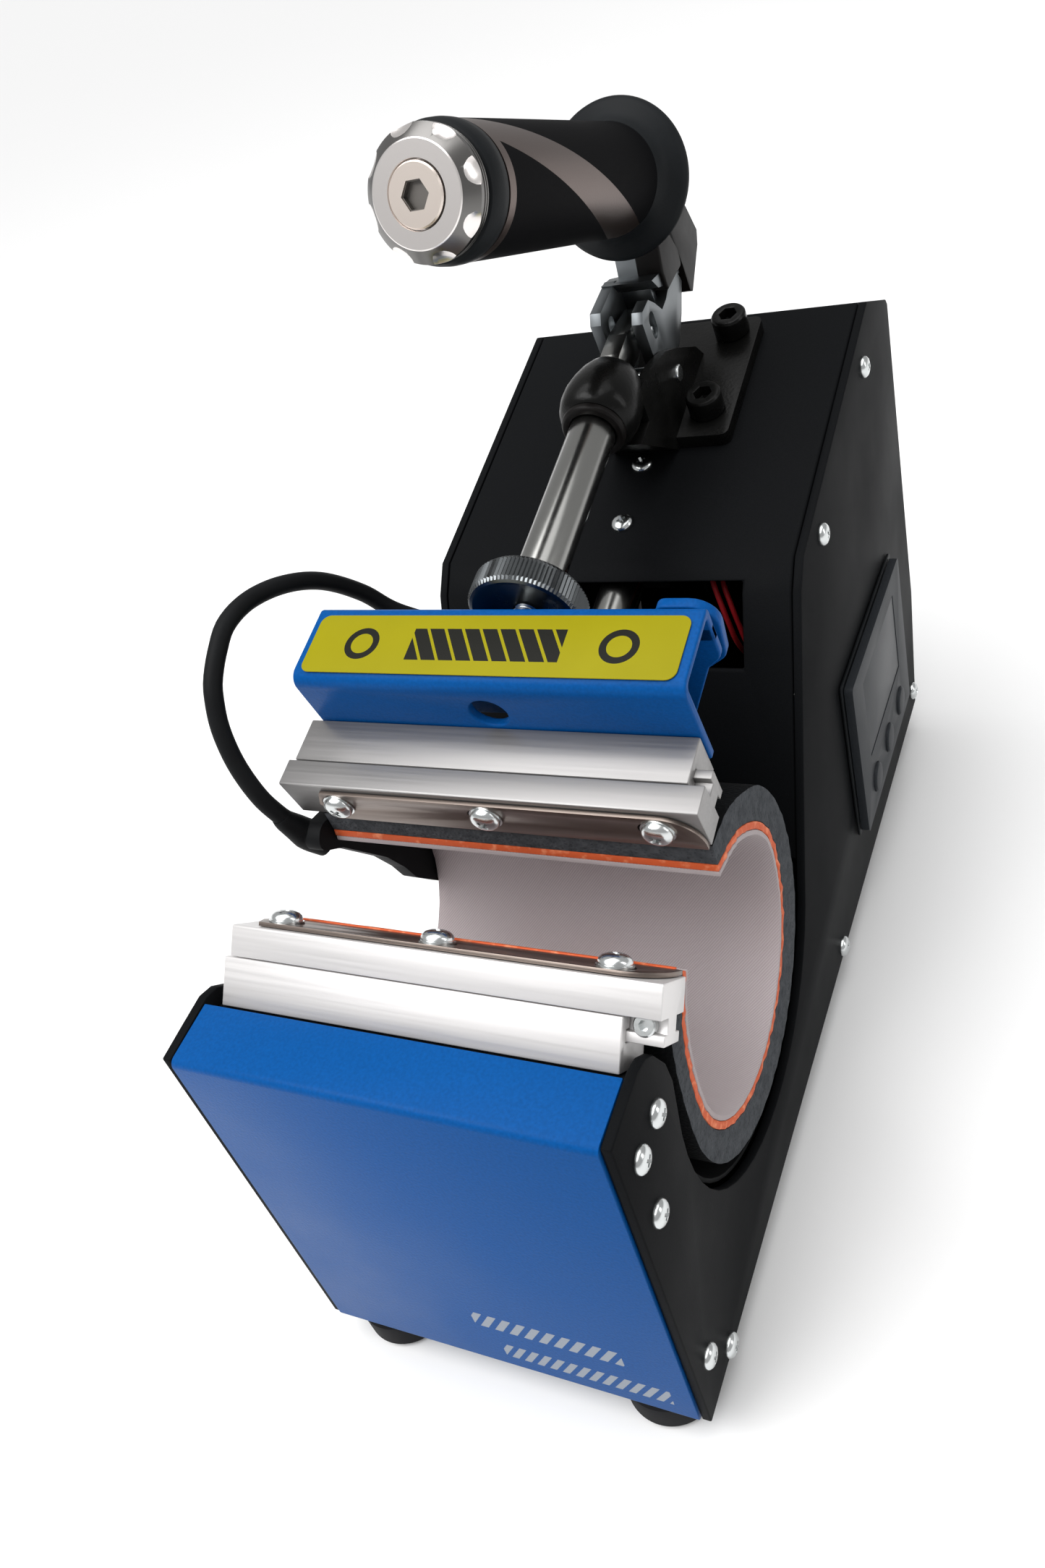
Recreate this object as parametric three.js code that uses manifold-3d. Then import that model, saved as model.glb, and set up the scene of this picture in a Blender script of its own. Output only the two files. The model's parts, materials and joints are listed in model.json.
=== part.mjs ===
// Mug heat press: pressed-steel body, two clamp bars, flexible heater wrap, push-pull toggle clamp.
// Units are millimetres, +Z up, +Y towards the rear, +X towards the control-panel side.
import * as THREE from 'three';
import Module from 'manifold-3d';

const wasm = await Module();
wasm.setup();

// ---- driving sizes ----
const HALF_WIDTH = 68;          // outside of a side plate
const PLATE = 3;                // side plate thickness
const COVER_HALF = 64.7;        // covers sit between the side plates
const SHEET = 2;                // cover sheet thickness
const FOOT_HEIGHT = 13.5;
const ROOF_TILT = 16.17;        // degrees
const ROOF_EDGE = [208, 182.5]; // front bend of the roof, Y and Z
const WRAP_SPACE = { y: 97, z: 107, r: 64 };
const GAP = 0.3;
const PLUNGER_HEIGHT = 38.2;    // above the roof
const PLUNGER_R = 7.9;
const ROD_HEIGHT = -14.6;
const ROD_R = 6.3;
const PIVOT = [71, 19];         // lever pivot on the roof frame
const HANDLE_BASE = [101.8, 76.3];
const HANDLE_TILT = 56.97;      // handle axis from the roof normal, degrees
const RAD = Math.PI / 180;

const group = new THREE.Group();

// ---- solid helpers ----
function toSolid(geometry) {
  const copy = geometry.clone();
  copy.deleteAttribute('normal');
  copy.deleteAttribute('uv');
  const position = [];
  const index = [];
  const seen = new Map();
  const source = copy.attributes.position;
  const order = copy.index ? copy.index.array : [...Array(source.count).keys()];
  for (const i of order) {
    const point = [source.getX(i), source.getY(i), source.getZ(i)];
    const key = point.map((v) => Math.round(v * 1e4)).join();
    if (!seen.has(key)) {
      seen.set(key, position.length / 3);
      position.push(...point);
    }
    index.push(seen.get(key));
  }
  const kept = [];
  for (let i = 0; i < index.length; i += 3) {
    const [a, b, c] = index.slice(i, i + 3);
    if (a !== b && b !== c && a !== c) kept.push(a, b, c);
  }
  return new wasm.Manifold(new wasm.Mesh({
    numProp: 3,
    vertProperties: new Float32Array(position),
    triVerts: new Uint32Array(kept),
  }));
}

function toGeometry(solid) {
  const mesh = solid.getMesh();
  const geometry = new THREE.BufferGeometry();
  geometry.setAttribute('position', new THREE.BufferAttribute(new Float32Array(mesh.vertProperties), 3));
  geometry.setIndex(new THREE.BufferAttribute(new Uint32Array(mesh.triVerts), 1));
  geometry.computeVertexNormals();
  return geometry;
}

function join(...parts) {
  return toGeometry(parts.map(toSolid).reduce((a, b) => a.add(b)));
}

function cut(base, ...tools) {
  return toGeometry(tools.map(toSolid).reduce((a, b) => a.subtract(b), toSolid(base)));
}

// a mirrored geometry has inside-out triangles: turn them over
function flipped(geometry) {
  const position = geometry.attributes.position;
  const order = geometry.index ? [...geometry.index.array] : [...Array(position.count).keys()];
  for (let i = 0; i < order.length; i += 3) [order[i], order[i + 1]] = [order[i + 1], order[i]];
  const turned = geometry.clone();
  turned.setIndex(order);
  return toSolid(turned);
}

function material(color, rough = 0.6, metal = 0) {
  return new THREE.MeshStandardMaterial({ color, roughness: rough, metalness: metal });
}

const look = {
  steel: material(0x34363a, 0.7),
  blue: material(0x1d62b0, 0.45),
  rubber: material(0x151618, 0.85),
  aluminium: material(0xc9ccd0, 0.35, 1),
  darkSteel: material(0x6b625c, 0.35, 1),
  chrome: material(0xd8dadd, 0.12, 1),
  zinc: material(0x8f99a3, 0.35, 1),
  casting: material(0x101114, 0.3),
  fabric: material(0xe9dfe0, 0.9),
  silicone: material(0xe0501e, 0.7),
  foam: material(0x5d6167, 0.95),
  label: material(0xe8e31a, 0.5),
  plastic: material(0x1a1b1d, 0.5),
  grey: material(0x77797c, 0.6),
  glass: material(0x0d1218, 0.1),
  red: material(0x8d1119, 0.5),
  board: material(0x1f5a36, 0.6),
};

function add(name, geometry, mat, parent = group) {
  const mesh = new THREE.Mesh(geometry, mat);
  mesh.name = name;
  parent.add(mesh);
  return mesh;
}

// ---- shape helpers ----
function outline(points) {
  return new THREE.Shape(points.map(([a, b]) => new THREE.Vector2(a, b)));
}

function hole(shape, a, b, r) {
  const path = new THREE.Path();
  path.absarc(a, b, r, 0, Math.PI * 2, true);
  shape.holes.push(path);
  return shape;
}

function alongX(shape, x0, x1, steps = 8) {
  const geometry = new THREE.ExtrudeGeometry(shape, { depth: x1 - x0, bevelEnabled: false, curveSegments: steps });
  const basis = new THREE.Matrix4().makeBasis(
    new THREE.Vector3(0, 1, 0), new THREE.Vector3(0, 0, 1), new THREE.Vector3(1, 0, 0));
  geometry.applyMatrix4(basis);
  geometry.translate(x0, 0, 0);
  return geometry;
}

// shape in (x, z), extruded from y0 towards +y
function alongY(shape, y0, y1, steps = 8) {
  const geometry = new THREE.ExtrudeGeometry(shape, { depth: y1 - y0, bevelEnabled: false, curveSegments: steps });
  geometry.rotateX(Math.PI / 2);
  geometry.translate(0, y1, 0);
  return geometry;
}

function alongZ(shape, z0, z1, steps = 8) {
  const geometry = new THREE.ExtrudeGeometry(shape, { depth: z1 - z0, bevelEnabled: false, curveSegments: steps });
  geometry.translate(0, 0, z0);
  return geometry;
}

function box(x0, x1, y0, y1, z0, z1) {
  const geometry = new THREE.BoxGeometry(x1 - x0, y1 - y0, z1 - z0);
  geometry.translate((x0 + x1) / 2, (y0 + y1) / 2, (z0 + z1) / 2);
  return geometry;
}

// round bar: axis 'x', 'y' or 'z', from a to b, centred on the two other coordinates
function rod(axis, r, a, b, p = 0, q = 0, sides = 24) {
  const geometry = new THREE.CylinderGeometry(r, r, b - a, sides);
  const mid = (a + b) / 2;
  if (axis === 'x') {
    geometry.rotateZ(Math.PI / 2);
    geometry.translate(mid, p, q);
  } else if (axis === 'y') {
    geometry.translate(p, mid, q);
  } else {
    geometry.rotateX(Math.PI / 2);
    geometry.translate(p, q, mid);
  }
  return geometry;
}

function circle(r, a = 0, b = 0) {
  const shape = new THREE.Shape();
  shape.absarc(a, b, r, 0, Math.PI * 2, false);
  return shape;
}

function ring(outer, inner) {
  return hole(circle(outer), 0, 0, inner);
}

function roundRect(a0, a1, b0, b1, r) {
  const shape = new THREE.Shape();
  shape.absarc(a1 - r, b0 + r, r, -Math.PI / 2, 0, false);
  shape.absarc(a1 - r, b1 - r, r, 0, Math.PI / 2, false);
  shape.absarc(a0 + r, b1 - r, r, Math.PI / 2, Math.PI, false);
  shape.absarc(a0 + r, b0 + r, r, Math.PI, Math.PI * 1.5, false);
  return shape;
}

// points shifted sideways by a distance, to the right of the direction of travel
function offset(points, distance) {
  return points.map((p, i) => {
    const a = points[Math.max(i - 1, 0)];
    const b = points[Math.min(i + 1, points.length - 1)];
    const d1 = unit(a, p) ?? unit(p, b);
    const d2 = unit(p, b) ?? unit(a, p);
    const n = [d1[1] + d2[1], -d1[0] - d2[0]];
    const scale = distance * 2 / (n[0] * n[0] + n[1] * n[1]);
    return [p[0] + n[0] * scale, p[1] + n[1] * scale];
  });
}

function unit(a, b) {
  const length = Math.hypot(b[0] - a[0], b[1] - a[1]);
  return length < 1e-9 ? null : [(b[0] - a[0]) / length, (b[1] - a[1]) / length];
}

function sheet(points, thickness) {
  return outline([...points, ...offset(points, thickness).reverse()]);
}

function arc(y, z, r, from, to, steps) {
  const points = [];
  for (let i = 0; i <= steps; i++) {
    const a = (from + (to - from) * i / steps) * RAD;
    points.push([y + r * Math.cos(a), z + r * Math.sin(a)]);
  }
  return points;
}

function smooth(points, count) {
  const curve = new THREE.SplineCurve(points.map(([a, b]) => new THREE.Vector2(a, b)));
  return curve.getSpacedPoints(count).map((v) => [v.x, v.y]);
}

// ---- body ----
const sideOutline = [
  [0, 153], [12, 154.5], [21, 155.5], [26, 154], [30, 150.5], [34.5, 141.4], [35.5, 133],
  ...arc(WRAP_SPACE.y, WRAP_SPACE.z, WRAP_SPACE.r + 1.2, 166, 339, 22),
  [191.7, 156.5], [199.8, 173.6], ROOF_EDGE, [327, 217], [359, 204.6], [361, 202.2],
  [361, 68], [350, FOOT_HEIGHT], [0, FOOT_HEIGHT],
];
add('right_side_plate', alongX(outline(sideOutline), HALF_WIDTH - PLATE, HALF_WIDTH), look.steel);
add('left_side_plate', alongX(outline(sideOutline), -HALF_WIDTH, PLATE - HALF_WIDTH), look.steel);

const roofLine = [[162, 89.3], [191.7, 156.5], [199.8, 173.6], ROOF_EDGE, [327, 217], [357, 205.4]];
const roofSheet = alongX(sheet(roofLine, SHEET), -COVER_HALF, COVER_HALF);
const windowCut = box(-48, 48, 180, 206, 150, 176.5);
add('top_cover', cut(roofSheet, windowCut), look.steel);

const rearLine = [[361, 201.8], [361, 68], [350.4, 16.2]];
const rearSheet = alongX(sheet(rearLine, SHEET), -COVER_HALF, COVER_HALF);
const inletCut = box(-52, -20, 340, 370, 78, 104);
const switchCut = box(11, 33, 340, 370, 76, 106);
add('rear_cover', cut(rearSheet, inletCut, switchCut), look.steel);

const trayLine = arc(WRAP_SPACE.y, WRAP_SPACE.z, WRAP_SPACE.r, 168, 340, 26);
const trayShape = outline([...trayLine, ...arc(WRAP_SPACE.y, WRAP_SPACE.z, WRAP_SPACE.r - 1.5, 340, 168, 26)]);
add('heater_tray', alongX(trayShape, -COVER_HALF, COVER_HALF), look.steel);

add('base_plate', box(-COVER_HALF, COVER_HALF, 1.6, 346, 16.2, 18.2), look.steel);
const frontLine = [[12, 13.8], [-0.4, 13.8], [-1, 14.6], [-1, 152], [0, 153.4], [19, 155.2]];
add('front_cover', alongX(sheet(frontLine, SHEET), -COVER_HALF, COVER_HALF), look.blue);

const footPlaces = { front_left: [-49, 14], front_right: [49, 14], rear_left: [-49, 330], rear_right: [49, 330] };
for (const [place, [x, y]] of Object.entries(footPlaces)) {
  add(`foot_${place}`, rod('z', 15, 0, FOOT_HEIGHT - GAP, x, y), look.rubber);
}

// ---- clamp bars, each in its own frame: +Y from fixed bar to heater bar, top face at z = 0 ----
const BAR = 16;
function fixedBarShape(rear) {
  return outline([
    [rear, 0], [rear, -BAR], [-0.15, -BAR], [-0.15, -11.3], [-3.7, -11.3], [-3.7, -13.8],
    [-7.1, -13.8], [-7.1, -2.9], [-3.7, -2.9], [-3.7, -5.2], [-0.15, -5.2], [-0.15, 0],
  ]);
}
const heaterBarShape = outline([
  [0.15, 0], [0.15, -5.5], [-4, -5.5], [-4, -3.2], [-6.8, -3.2], [-6.8, -13.5], [-4, -13.5],
  [-4, -11], [0.15, -11], [0.15, -BAR], [9.2, -BAR], [9.2, -0.4], [8.8, 0],
]);

function clampStrip(x0, x1, screws, roundSide) {
  const shape = new THREE.Shape();
  shape.moveTo(x0 + 3, -2);
  shape.lineTo(x0, -8);
  shape.lineTo(x0 + 4, -BAR);
  shape.lineTo(x1, -BAR);
  shape.absarc(x1 - 12, -14, 12, 0, Math.PI / 2, false);
  for (const x of screws) {
    const slot = new THREE.Path();
    slot.absarc(x + 1.6, -7.4, 2.9, -Math.PI / 2, Math.PI / 2, false);
    slot.absarc(x - 1.6, -7.4, 2.9, Math.PI / 2, Math.PI * 1.5, false);
    shape.holes.push(slot);
  }
  const geometry = alongY(shape, 9.5, 10.7, 10);
  if (roundSide > 0) return geometry;
  geometry.scale(-1, 1, 1);
  return toGeometry(flipped(geometry));
}

const frontJaw = new THREE.Group();
frontJaw.position.set(0, 31.4, 162.3);
frontJaw.rotation.x = 48 * RAD;
group.add(frontJaw);
add('front_fixed_bar', alongX(fixedBarShape(-14.4), -62, 62), look.aluminium, frontJaw);
add('front_heater_bar', alongX(heaterBarShape, -60, 72), look.aluminium, frontJaw);
add('front_clamp_strip', clampStrip(-55, 71, [-45, 5.4, 57.4], 1), look.darkSteel, frontJaw);
add('front_jaw_beam', box(-COVER_HALF, COVER_HALF, -28, -14.7, -14, -1.5), look.steel, frontJaw);

// ---- heater wrap: three layers between an inner and an outer curve ----
const innerCurve = smooth([
  [59, 149.5], [53.9, 142.6], [50.4, 133.6], [48.8, 123.6], ...arc(90.6, 113.2, 42.1, 180, 360, 12),
  [132.2, 121.5], [129.8, 129], [124.6, 136.4], [118.5, 142], [109.8, 147.8], [101, 150.6], [91.2, 151.8],
], 60);
const outerCurve = smooth([
  [49.8, 158.2], [43.8, 150.6], [39.7, 140.6], [37.9, 127], ...arc(93.4, 108.5, 55.6, 181, 359, 12),
  [148.4, 118], [146.4, 127], [141.2, 138.6], [132.6, 149.7], [123.5, 156.2], [114.6, 160.8],
  [107.2, 163.6], [99, 164.5], [90.8, 164],
], 60);
const WRAP_SPAN = [-61, 68];
const LINING = 1.6;
const HEATER = [1.9, 4.1];
add('wrap_lining', alongX(sheet(innerCurve, LINING), ...WRAP_SPAN), look.fabric);
const heaterBand = outline([...offset(innerCurve, HEATER[0]), ...offset(innerCurve, HEATER[1]).reverse()]);
add('wrap_heater', alongX(heaterBand, ...WRAP_SPAN), look.silicone);
const foamBand = outline([...offset(innerCurve, HEATER[1] + GAP), ...outerCurve.slice().reverse()]);
add('wrap_foam', alongX(foamBand, ...WRAP_SPAN), look.foam);

// ---- roof frame: y up the slope, z square to the roof ----
const slope = new THREE.Group();
slope.position.set(0, ...ROOF_EDGE);
slope.rotation.x = ROOF_TILT * RAD;
group.add(slope);

// toggle clamp casting
const SCREW_X = 21.5;
const SCREW_U = { front: 66, rear: 108 };
const EAR = [9.9, 12.7];
function clampBase() {
  const ears = outline([[47, 24], [47, 38.8], [58, 36], [67, 32], [76, 26], [92, 13], [98, 5], [53, 5]]);
  const rib = outline([[26, 27], [50, 27], [70, 5], [70, GAP], [52, GAP]]);
  const body = join(
    rod('y', 14.8, 24.3, 48, 0, PLUNGER_HEIGHT, 40),
    alongX(ears, ...EAR), alongX(ears, -EAR[1], -EAR[0]), alongX(rib, -EAR[1], EAR[1]),
    box(-31.5, 31.5, 53, 123, GAP, 5.3));
  const bores = [rod('y', PLUNGER_R + GAP, 20, 80, 0, PLUNGER_HEIGHT, 32), rod('x', 3.3, -20, 20, ...PIVOT, 16)];
  for (const x of [-SCREW_X, SCREW_X]) {
    for (const u of Object.values(SCREW_U)) bores.push(rod('z', 4.4, -1, 7, x, u, 16));
  }
  return cut(body, ...bores);
}
add('clamp_base', clampBase(), look.casting, slope);
const barrelRing = alongY(hole(circle(11, 0, PLUNGER_HEIGHT), 0, PLUNGER_HEIGHT, 8.2), 21.5, 24);
add('barrel_ring', barrelRing, look.casting, slope);
add('lever_pivot_pin', rod('x', 3, -13.6, 13.6, ...PIVOT, 16), look.chrome, slope);
for (const [side, x] of [['left', -SCREW_X], ['right', SCREW_X]]) {
  for (const [end, u] of Object.entries(SCREW_U)) {
    const head = cut(rod('z', 6.5, 5.6, 13.6, x, u, 24), rod('z', 3.4, 9.6, 14, x, u, 6));
    add(`clamp_screw_${end}_${side}`, join(head, rod('z', 4, GAP, 6, x, u, 16)), look.casting, slope);
  }
}
const guideBlock = cut(box(-12, 12, 10, 52, -27, -2.4), rod('y', ROD_R + GAP, 5, 60, 0, ROD_HEIGHT, 24));
add('guide_block', guideBlock, look.plastic, slope);

// plunger, stud and nut
const LINK_PIN_R = 1.6;
const tongue = outline([
  [42, 33.2], [70, 33.2], [77, 34.5], [82, 37.6], [80.5, 41], [62, 45], [52, 45], [42, 43.2],
]);
const plungerBody = join(rod('y', PLUNGER_R, -45.2, 47, 0, PLUNGER_HEIGHT, 32), alongX(tongue, -3.6, 3.6));
const plungerShape = cut(plungerBody, rod('y', 4.3, -50, -30, 0, PLUNGER_HEIGHT, 16),
  rod('x', LINK_PIN_R + GAP, -8, 8, PIVOT[0], PLUNGER_HEIGHT, 16));
add('plunger', plungerShape, look.chrome, slope);
add('plunger_pin', rod('x', LINK_PIN_R, -8.4, 8.4, PIVOT[0], PLUNGER_HEIGHT, 16), look.chrome, slope);
add('jaw_stud', rod('y', 4, -78, -31, 0, PLUNGER_HEIGHT, 16), look.chrome, slope);
const nutShape = hole(circle(18.5, 0, PLUNGER_HEIGHT), 0, PLUNGER_HEIGHT, 4.3);
add('pressure_nut', alongY(nutShape, -57.5, -47.5, 16), look.chrome, slope);
const washerShape = hole(circle(9.5, 0, PLUNGER_HEIGHT), 0, PLUNGER_HEIGHT, 4.3);
add('nut_washer', alongY(washerShape, -47.2, -45.5), look.zinc, slope);
const hexNut = hole(outline(arc(0, PLUNGER_HEIGHT, 7.5, 30, 330, 5)), 0, PLUNGER_HEIGHT, 4.3);
add('stud_nut', alongY(hexNut, -72.8, -66.3), look.zinc, slope);

// pressure bracket and carriage plate
function pressureBracket() {
  const half = 63.5;
  const bent = outline([
    [-93.1, 20], [-93.1, 49], [-91.8, 51.6], [-89.5, 52.5], [-63.3, 52.5], [-63.3, 48], [-66, 48],
    [-66, 50], [-89, 50], [-90.1, 48.5], [-90.1, 20],
  ]);
  const tail = outline([
    [-half, 49], [-half, 35], [-60.5, 31], [-58.5, 27.6], [-54, 18], [-48.7, 5], [-44, 1],
    [44, 1], [48.7, 5], [54, 18], [58.5, 27.6], [60.5, 31], [half, 35], [half, 49],
  ]);
  return cut(join(alongX(bent, -half, half), alongY(tail, -66, -63.3)),
    rod('y', 6, -95, -88, 0, PLUNGER_HEIGHT, 20), rod('y', 4.3, -70, -60, 0, PLUNGER_HEIGHT, 16));
}
add('pressure_bracket', pressureBracket(), look.blue, slope);
const carriageOutline = new THREE.Shape();
carriageOutline.moveTo(-24, 50);
carriageOutline.lineTo(-24, 2);
carriageOutline.lineTo(-13, -22);
carriageOutline.lineTo(13, -22);
carriageOutline.lineTo(32, 2);
carriageOutline.lineTo(63, 28);
carriageOutline.absarc(57, 42, 8, 0, Math.PI / 2, false);
hole(carriageOutline, 0, PLUNGER_HEIGHT, 4.3);
hole(carriageOutline, 0, ROD_HEIGHT, ROD_R + GAP);
add('carriage_plate', alongY(carriageOutline, -63, -59.5), look.blue, slope);
add('guide_rod', rod('y', ROD_R, -66, 70, 0, ROD_HEIGHT, 24), look.chrome, slope);
add('label_plate', alongZ(roundRect(-60.7, 60.7, -90.6, -69.8, 4), 52.8, 53.2, 4), look.label, slope);

const rearJaw = new THREE.Group();
rearJaw.position.set(0, -108.6, 31.5);
rearJaw.rotation.z = Math.PI;
slope.add(rearJaw);
add('rear_fixed_bar', alongX(fixedBarShape(-15.2), -63, 66.6), look.aluminium, rearJaw);
add('rear_heater_bar', alongX(heaterBarShape, -68, 68.8), look.aluminium, rearJaw);
add('rear_clamp_strip', clampStrip(-57, 67.5, [-50.7, 0.7, 53.8], -1), look.darkSteel, rearJaw);

// ---- lever and handle ----
// forked yoke: a tall left cheek, a notched right cheek, a web and a neck behind them
const CHEEK = [5.5, 9.5];
function leverYoke() {
  const disc = arc(...PIVOT, 8.3, 165, 345, 8);
  const tail = [[88, 20], [96, 25], [104.4, 32.5]];
  const tall = [...disc, ...tail, [104.4, 38], [84, 50.3], [66, 51.3], [63.2, 48.3], [63.2, 37], [63.5, 29]];
  const notched = [
    ...disc, ...tail, [101, 42], [87, 38.4], [81.5, 38.4], [76.8, 45], [73, 49.2], [66, 49.8], [63.2, 47],
    [63.2, 37], [63.5, 29],
  ];
  const slot = new THREE.Path();
  slot.absarc(PIVOT[0], PIVOT[1] + 18.9, 2.6, Math.PI, Math.PI * 2, false);
  slot.absarc(PIVOT[0], PIVOT[1] + 23.8, 2.6, 0, Math.PI, false);
  const cheeks = [tall, notched].map((points) => {
    const cheek = hole(outline(points), ...PIVOT, 3.3);
    cheek.holes.push(slot);
    return cheek;
  });
  const web = outline([[80.5, 51.2], [88.5, 48.2], [104.4, 38], [104.4, 36], [94, 39.4], [84, 45.6]]);
  const neck = outline([[88.5, 48], [104, 37.8], [103.8, 44], [98.6, 58], [96.3, 66], [92.5, 60], [90, 53]]);
  return join(alongX(cheeks[1], ...CHEEK), alongX(cheeks[0], -CHEEK[1], -CHEEK[0]),
    alongX(web, -CHEEK[1], CHEEK[1]), alongX(neck, -6, CHEEK[1]));
}
add('lever_yoke', leverYoke(), look.zinc, slope);

const handle = new THREE.Group();
handle.position.set(0, ...HANDLE_BASE);
handle.rotation.x = HANDLE_TILT * RAD;
function leverArm() {
  const bar = outline([
    [105.8, 27.2], [108, 25], [124, 33], [127, 37], [123, 49.5], [110, 71.5], [104.8, 80.3],
    [97.4, 68.6], [99.8, 59], [104.9, 45.5], [105.8, 37],
  ]);
  const tongue = outline([[92, 31.4], [93.4, 29], [107, 29], [107, 34.6], [94, 34.6]]);
  const core = rod('z', 8, -3, 126, 0, 0, 20);
  core.applyMatrix4(new THREE.Matrix4().makeRotationX(handle.rotation.x));
  core.translate(0, ...HANDLE_BASE);
  return join(alongX(bar, -1, 11), alongX(tongue, -1, 5.2), core);
}
add('lever_arm', leverArm(), look.casting, slope);
slope.add(handle);
add('grip_flange', alongZ(ring(25.35, 8.3), GAP, 12, 14), look.rubber, handle);
add('grip_sleeve', alongZ(ring(17.6, 8.3), 12.3, 120, 14), look.rubber, handle);
add('grip_collar', alongZ(ring(17.85, 8.3), 120.3, 129.5, 14), look.rubber, handle);
const capProfile = [[4.3, 129.8], [16.6, 129.8], [16.6, 134.3], [12.3, 138], [8.4, 138], [8.4, 135.2], [4.3, 135.2]];
const cap = new THREE.LatheGeometry([...capProfile, capProfile[0]].map(([r, z]) => new THREE.Vector2(r, z)), 32);
cap.rotateX(Math.PI / 2);
add('grip_end_cap', cap, look.aluminium, handle);
const boltHead = cut(rod('z', 8, 135.5, 139.2, 0, 0, 20), rod('z', 3, 137, 140, 0, 0, 6));
add('grip_bolt', join(boltHead, rod('z', 4, 126.3, 136, 0, 0, 16)), look.chrome, handle);

// ---- control panel on the right side plate ----
const PANEL = { y0: 226, y1: 320, z0: 40.4, z1: 114.5 };
const FACE = HALF_WIDTH + GAP;
add('panel_gasket', alongX(roundRect(PANEL.y0, PANEL.y1, PANEL.z0, PANEL.z1, 2), FACE, FACE + 1, 3), look.rubber);
const KEY_Y = [248, 273, 298];
const KEY_R = 6;
const panelFace = roundRect(PANEL.y0 + 1.5, PANEL.y1 - 1.5, PANEL.z0 + 1.5, PANEL.z1 - 1.5, 2);
for (const y of KEY_Y) hole(panelFace, y, 54, KEY_R + GAP);
const panelPlate = cut(alongX(panelFace, FACE + 1.3, FACE + 4.5, 8), box(70.9, 74, 243, 303, 68.6, 104.4));
add('control_panel', panelPlate, look.grey);
add('display_window', box(71.2, 72.6, 243.3, 302.7, 68.9, 104.1), look.glass);
KEY_Y.forEach((y, i) => {
  add(`panel_key_${i + 1}`, rod('x', KEY_R, 70.9, 74, y, 54, 16), look.plastic);
});

// ---- electrics inside the body and on the rear ----
add('controller_board', box(52, 54, 234, 312, 46, 108), look.board);
add('solid_state_relay', box(-30, 15, 240, 300, 18.5, 42), look.plastic);
const inletBody = cut(join(box(-51, -21, 338, 362, 79, 103), box(-55, -17, 361.3, 364, 74, 108)),
  box(-47, -25, 345, 366, 83, 99));
add('power_inlet', inletBody, look.plastic);
const switchBody = cut(join(box(12, 32, 340, 362, 77, 105), box(9, 35, 361.3, 363.5, 74, 108)),
  box(15, 29, 350, 366, 80, 102));
add('switch_body', switchBody, look.plastic);
const rockerShape = outline([[354, 84], [354, 98], [361.5, 100.3], [361, 95], [360.8, 91], [362, 87], [364.6, 82.2]]);
add('switch_rocker', alongX(rockerShape, 15.5, 28.5), look.red);

// ---- heater cable ----
const cableRoute = [
  [-38, 204, 157], [-38, 196, 158], [-42, 188, 165], [-54, 180, 179], [-66, 170, 190], [-72, 163, 200],
  [-76, 150.6, 212.2], [-79, 136.3, 220.3], [-81, 121, 224.6], [-82, 108.7, 224.2], [-82.5, 100.9, 219.7],
  [-82.5, 94, 214], [-82, 90.2, 209.1], [-81.5, 86.8, 201.3], [-80, 84.4, 192.1], [-78, 83.3, 183.7],
  [-75.5, 83.4, 174.5], [-72.5, 85, 166],
];
const CABLE_R = 3;
const cableCurve = new THREE.CatmullRomCurve3(cableRoute.map((p) => new THREE.Vector3(...p)));
const cableTube = new THREE.ExtrudeGeometry(circle(CABLE_R), {
  steps: 26, bevelEnabled: false, extrudePath: cableCurve, curveSegments: 5,
});
add('heater_cable', cableTube, look.rubber);
const gland = cut(join(rod('y', 7, 206, 214, -38, 157, 20), box(-43, -33, 207, 213, 160, 178)),
  rod('y', 3.4, 200, 220, -38, 157, 16));
add('cable_gland', gland, look.plastic);
const bootAxis = new THREE.CatmullRomCurve3([[-72.6, 85.2, 164.6], [-71.4, 86.6, 160.5], [-69.4, 89, 155]]
  .map((p) => new THREE.Vector3(...p)));
const boot = new THREE.ExtrudeGeometry(circle(5), {
  steps: 4, bevelEnabled: false, extrudePath: bootAxis, curveSegments: 6,
});
const housingShape = outline([
  [82, 155], [92.7, 147], [109.7, 126], [116, 115], [119.5, 106.6], [135.3, 88.2], [143, 95.4],
  [149, 118], [140, 138], [124, 152], [106, 158.5], [95, 160], [87, 161.5],
]);
add('connector_housing', join(alongX(housingShape, -67.5, -61.4), boot), look.plastic);

// ---- common origin: centre of the footprint, on the ground ----
group.updateMatrixWorld(true);
const bounds = new THREE.Box3();
group.traverse((node) => {
  if (node.isMesh && node.name !== 'heater_cable') bounds.expandByObject(node, true);
});
const centre = bounds.getCenter(new THREE.Vector3());
group.position.set(-centre.x, -centre.y, -bounds.min.z);
group.updateMatrixWorld(true);

export default group;
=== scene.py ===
"""Mug heat press: looks model. Millimetres in the build frames, metres in the scene."""
import json
import math

import bmesh
import bpy
from mathutils import Matrix, Vector


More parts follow.
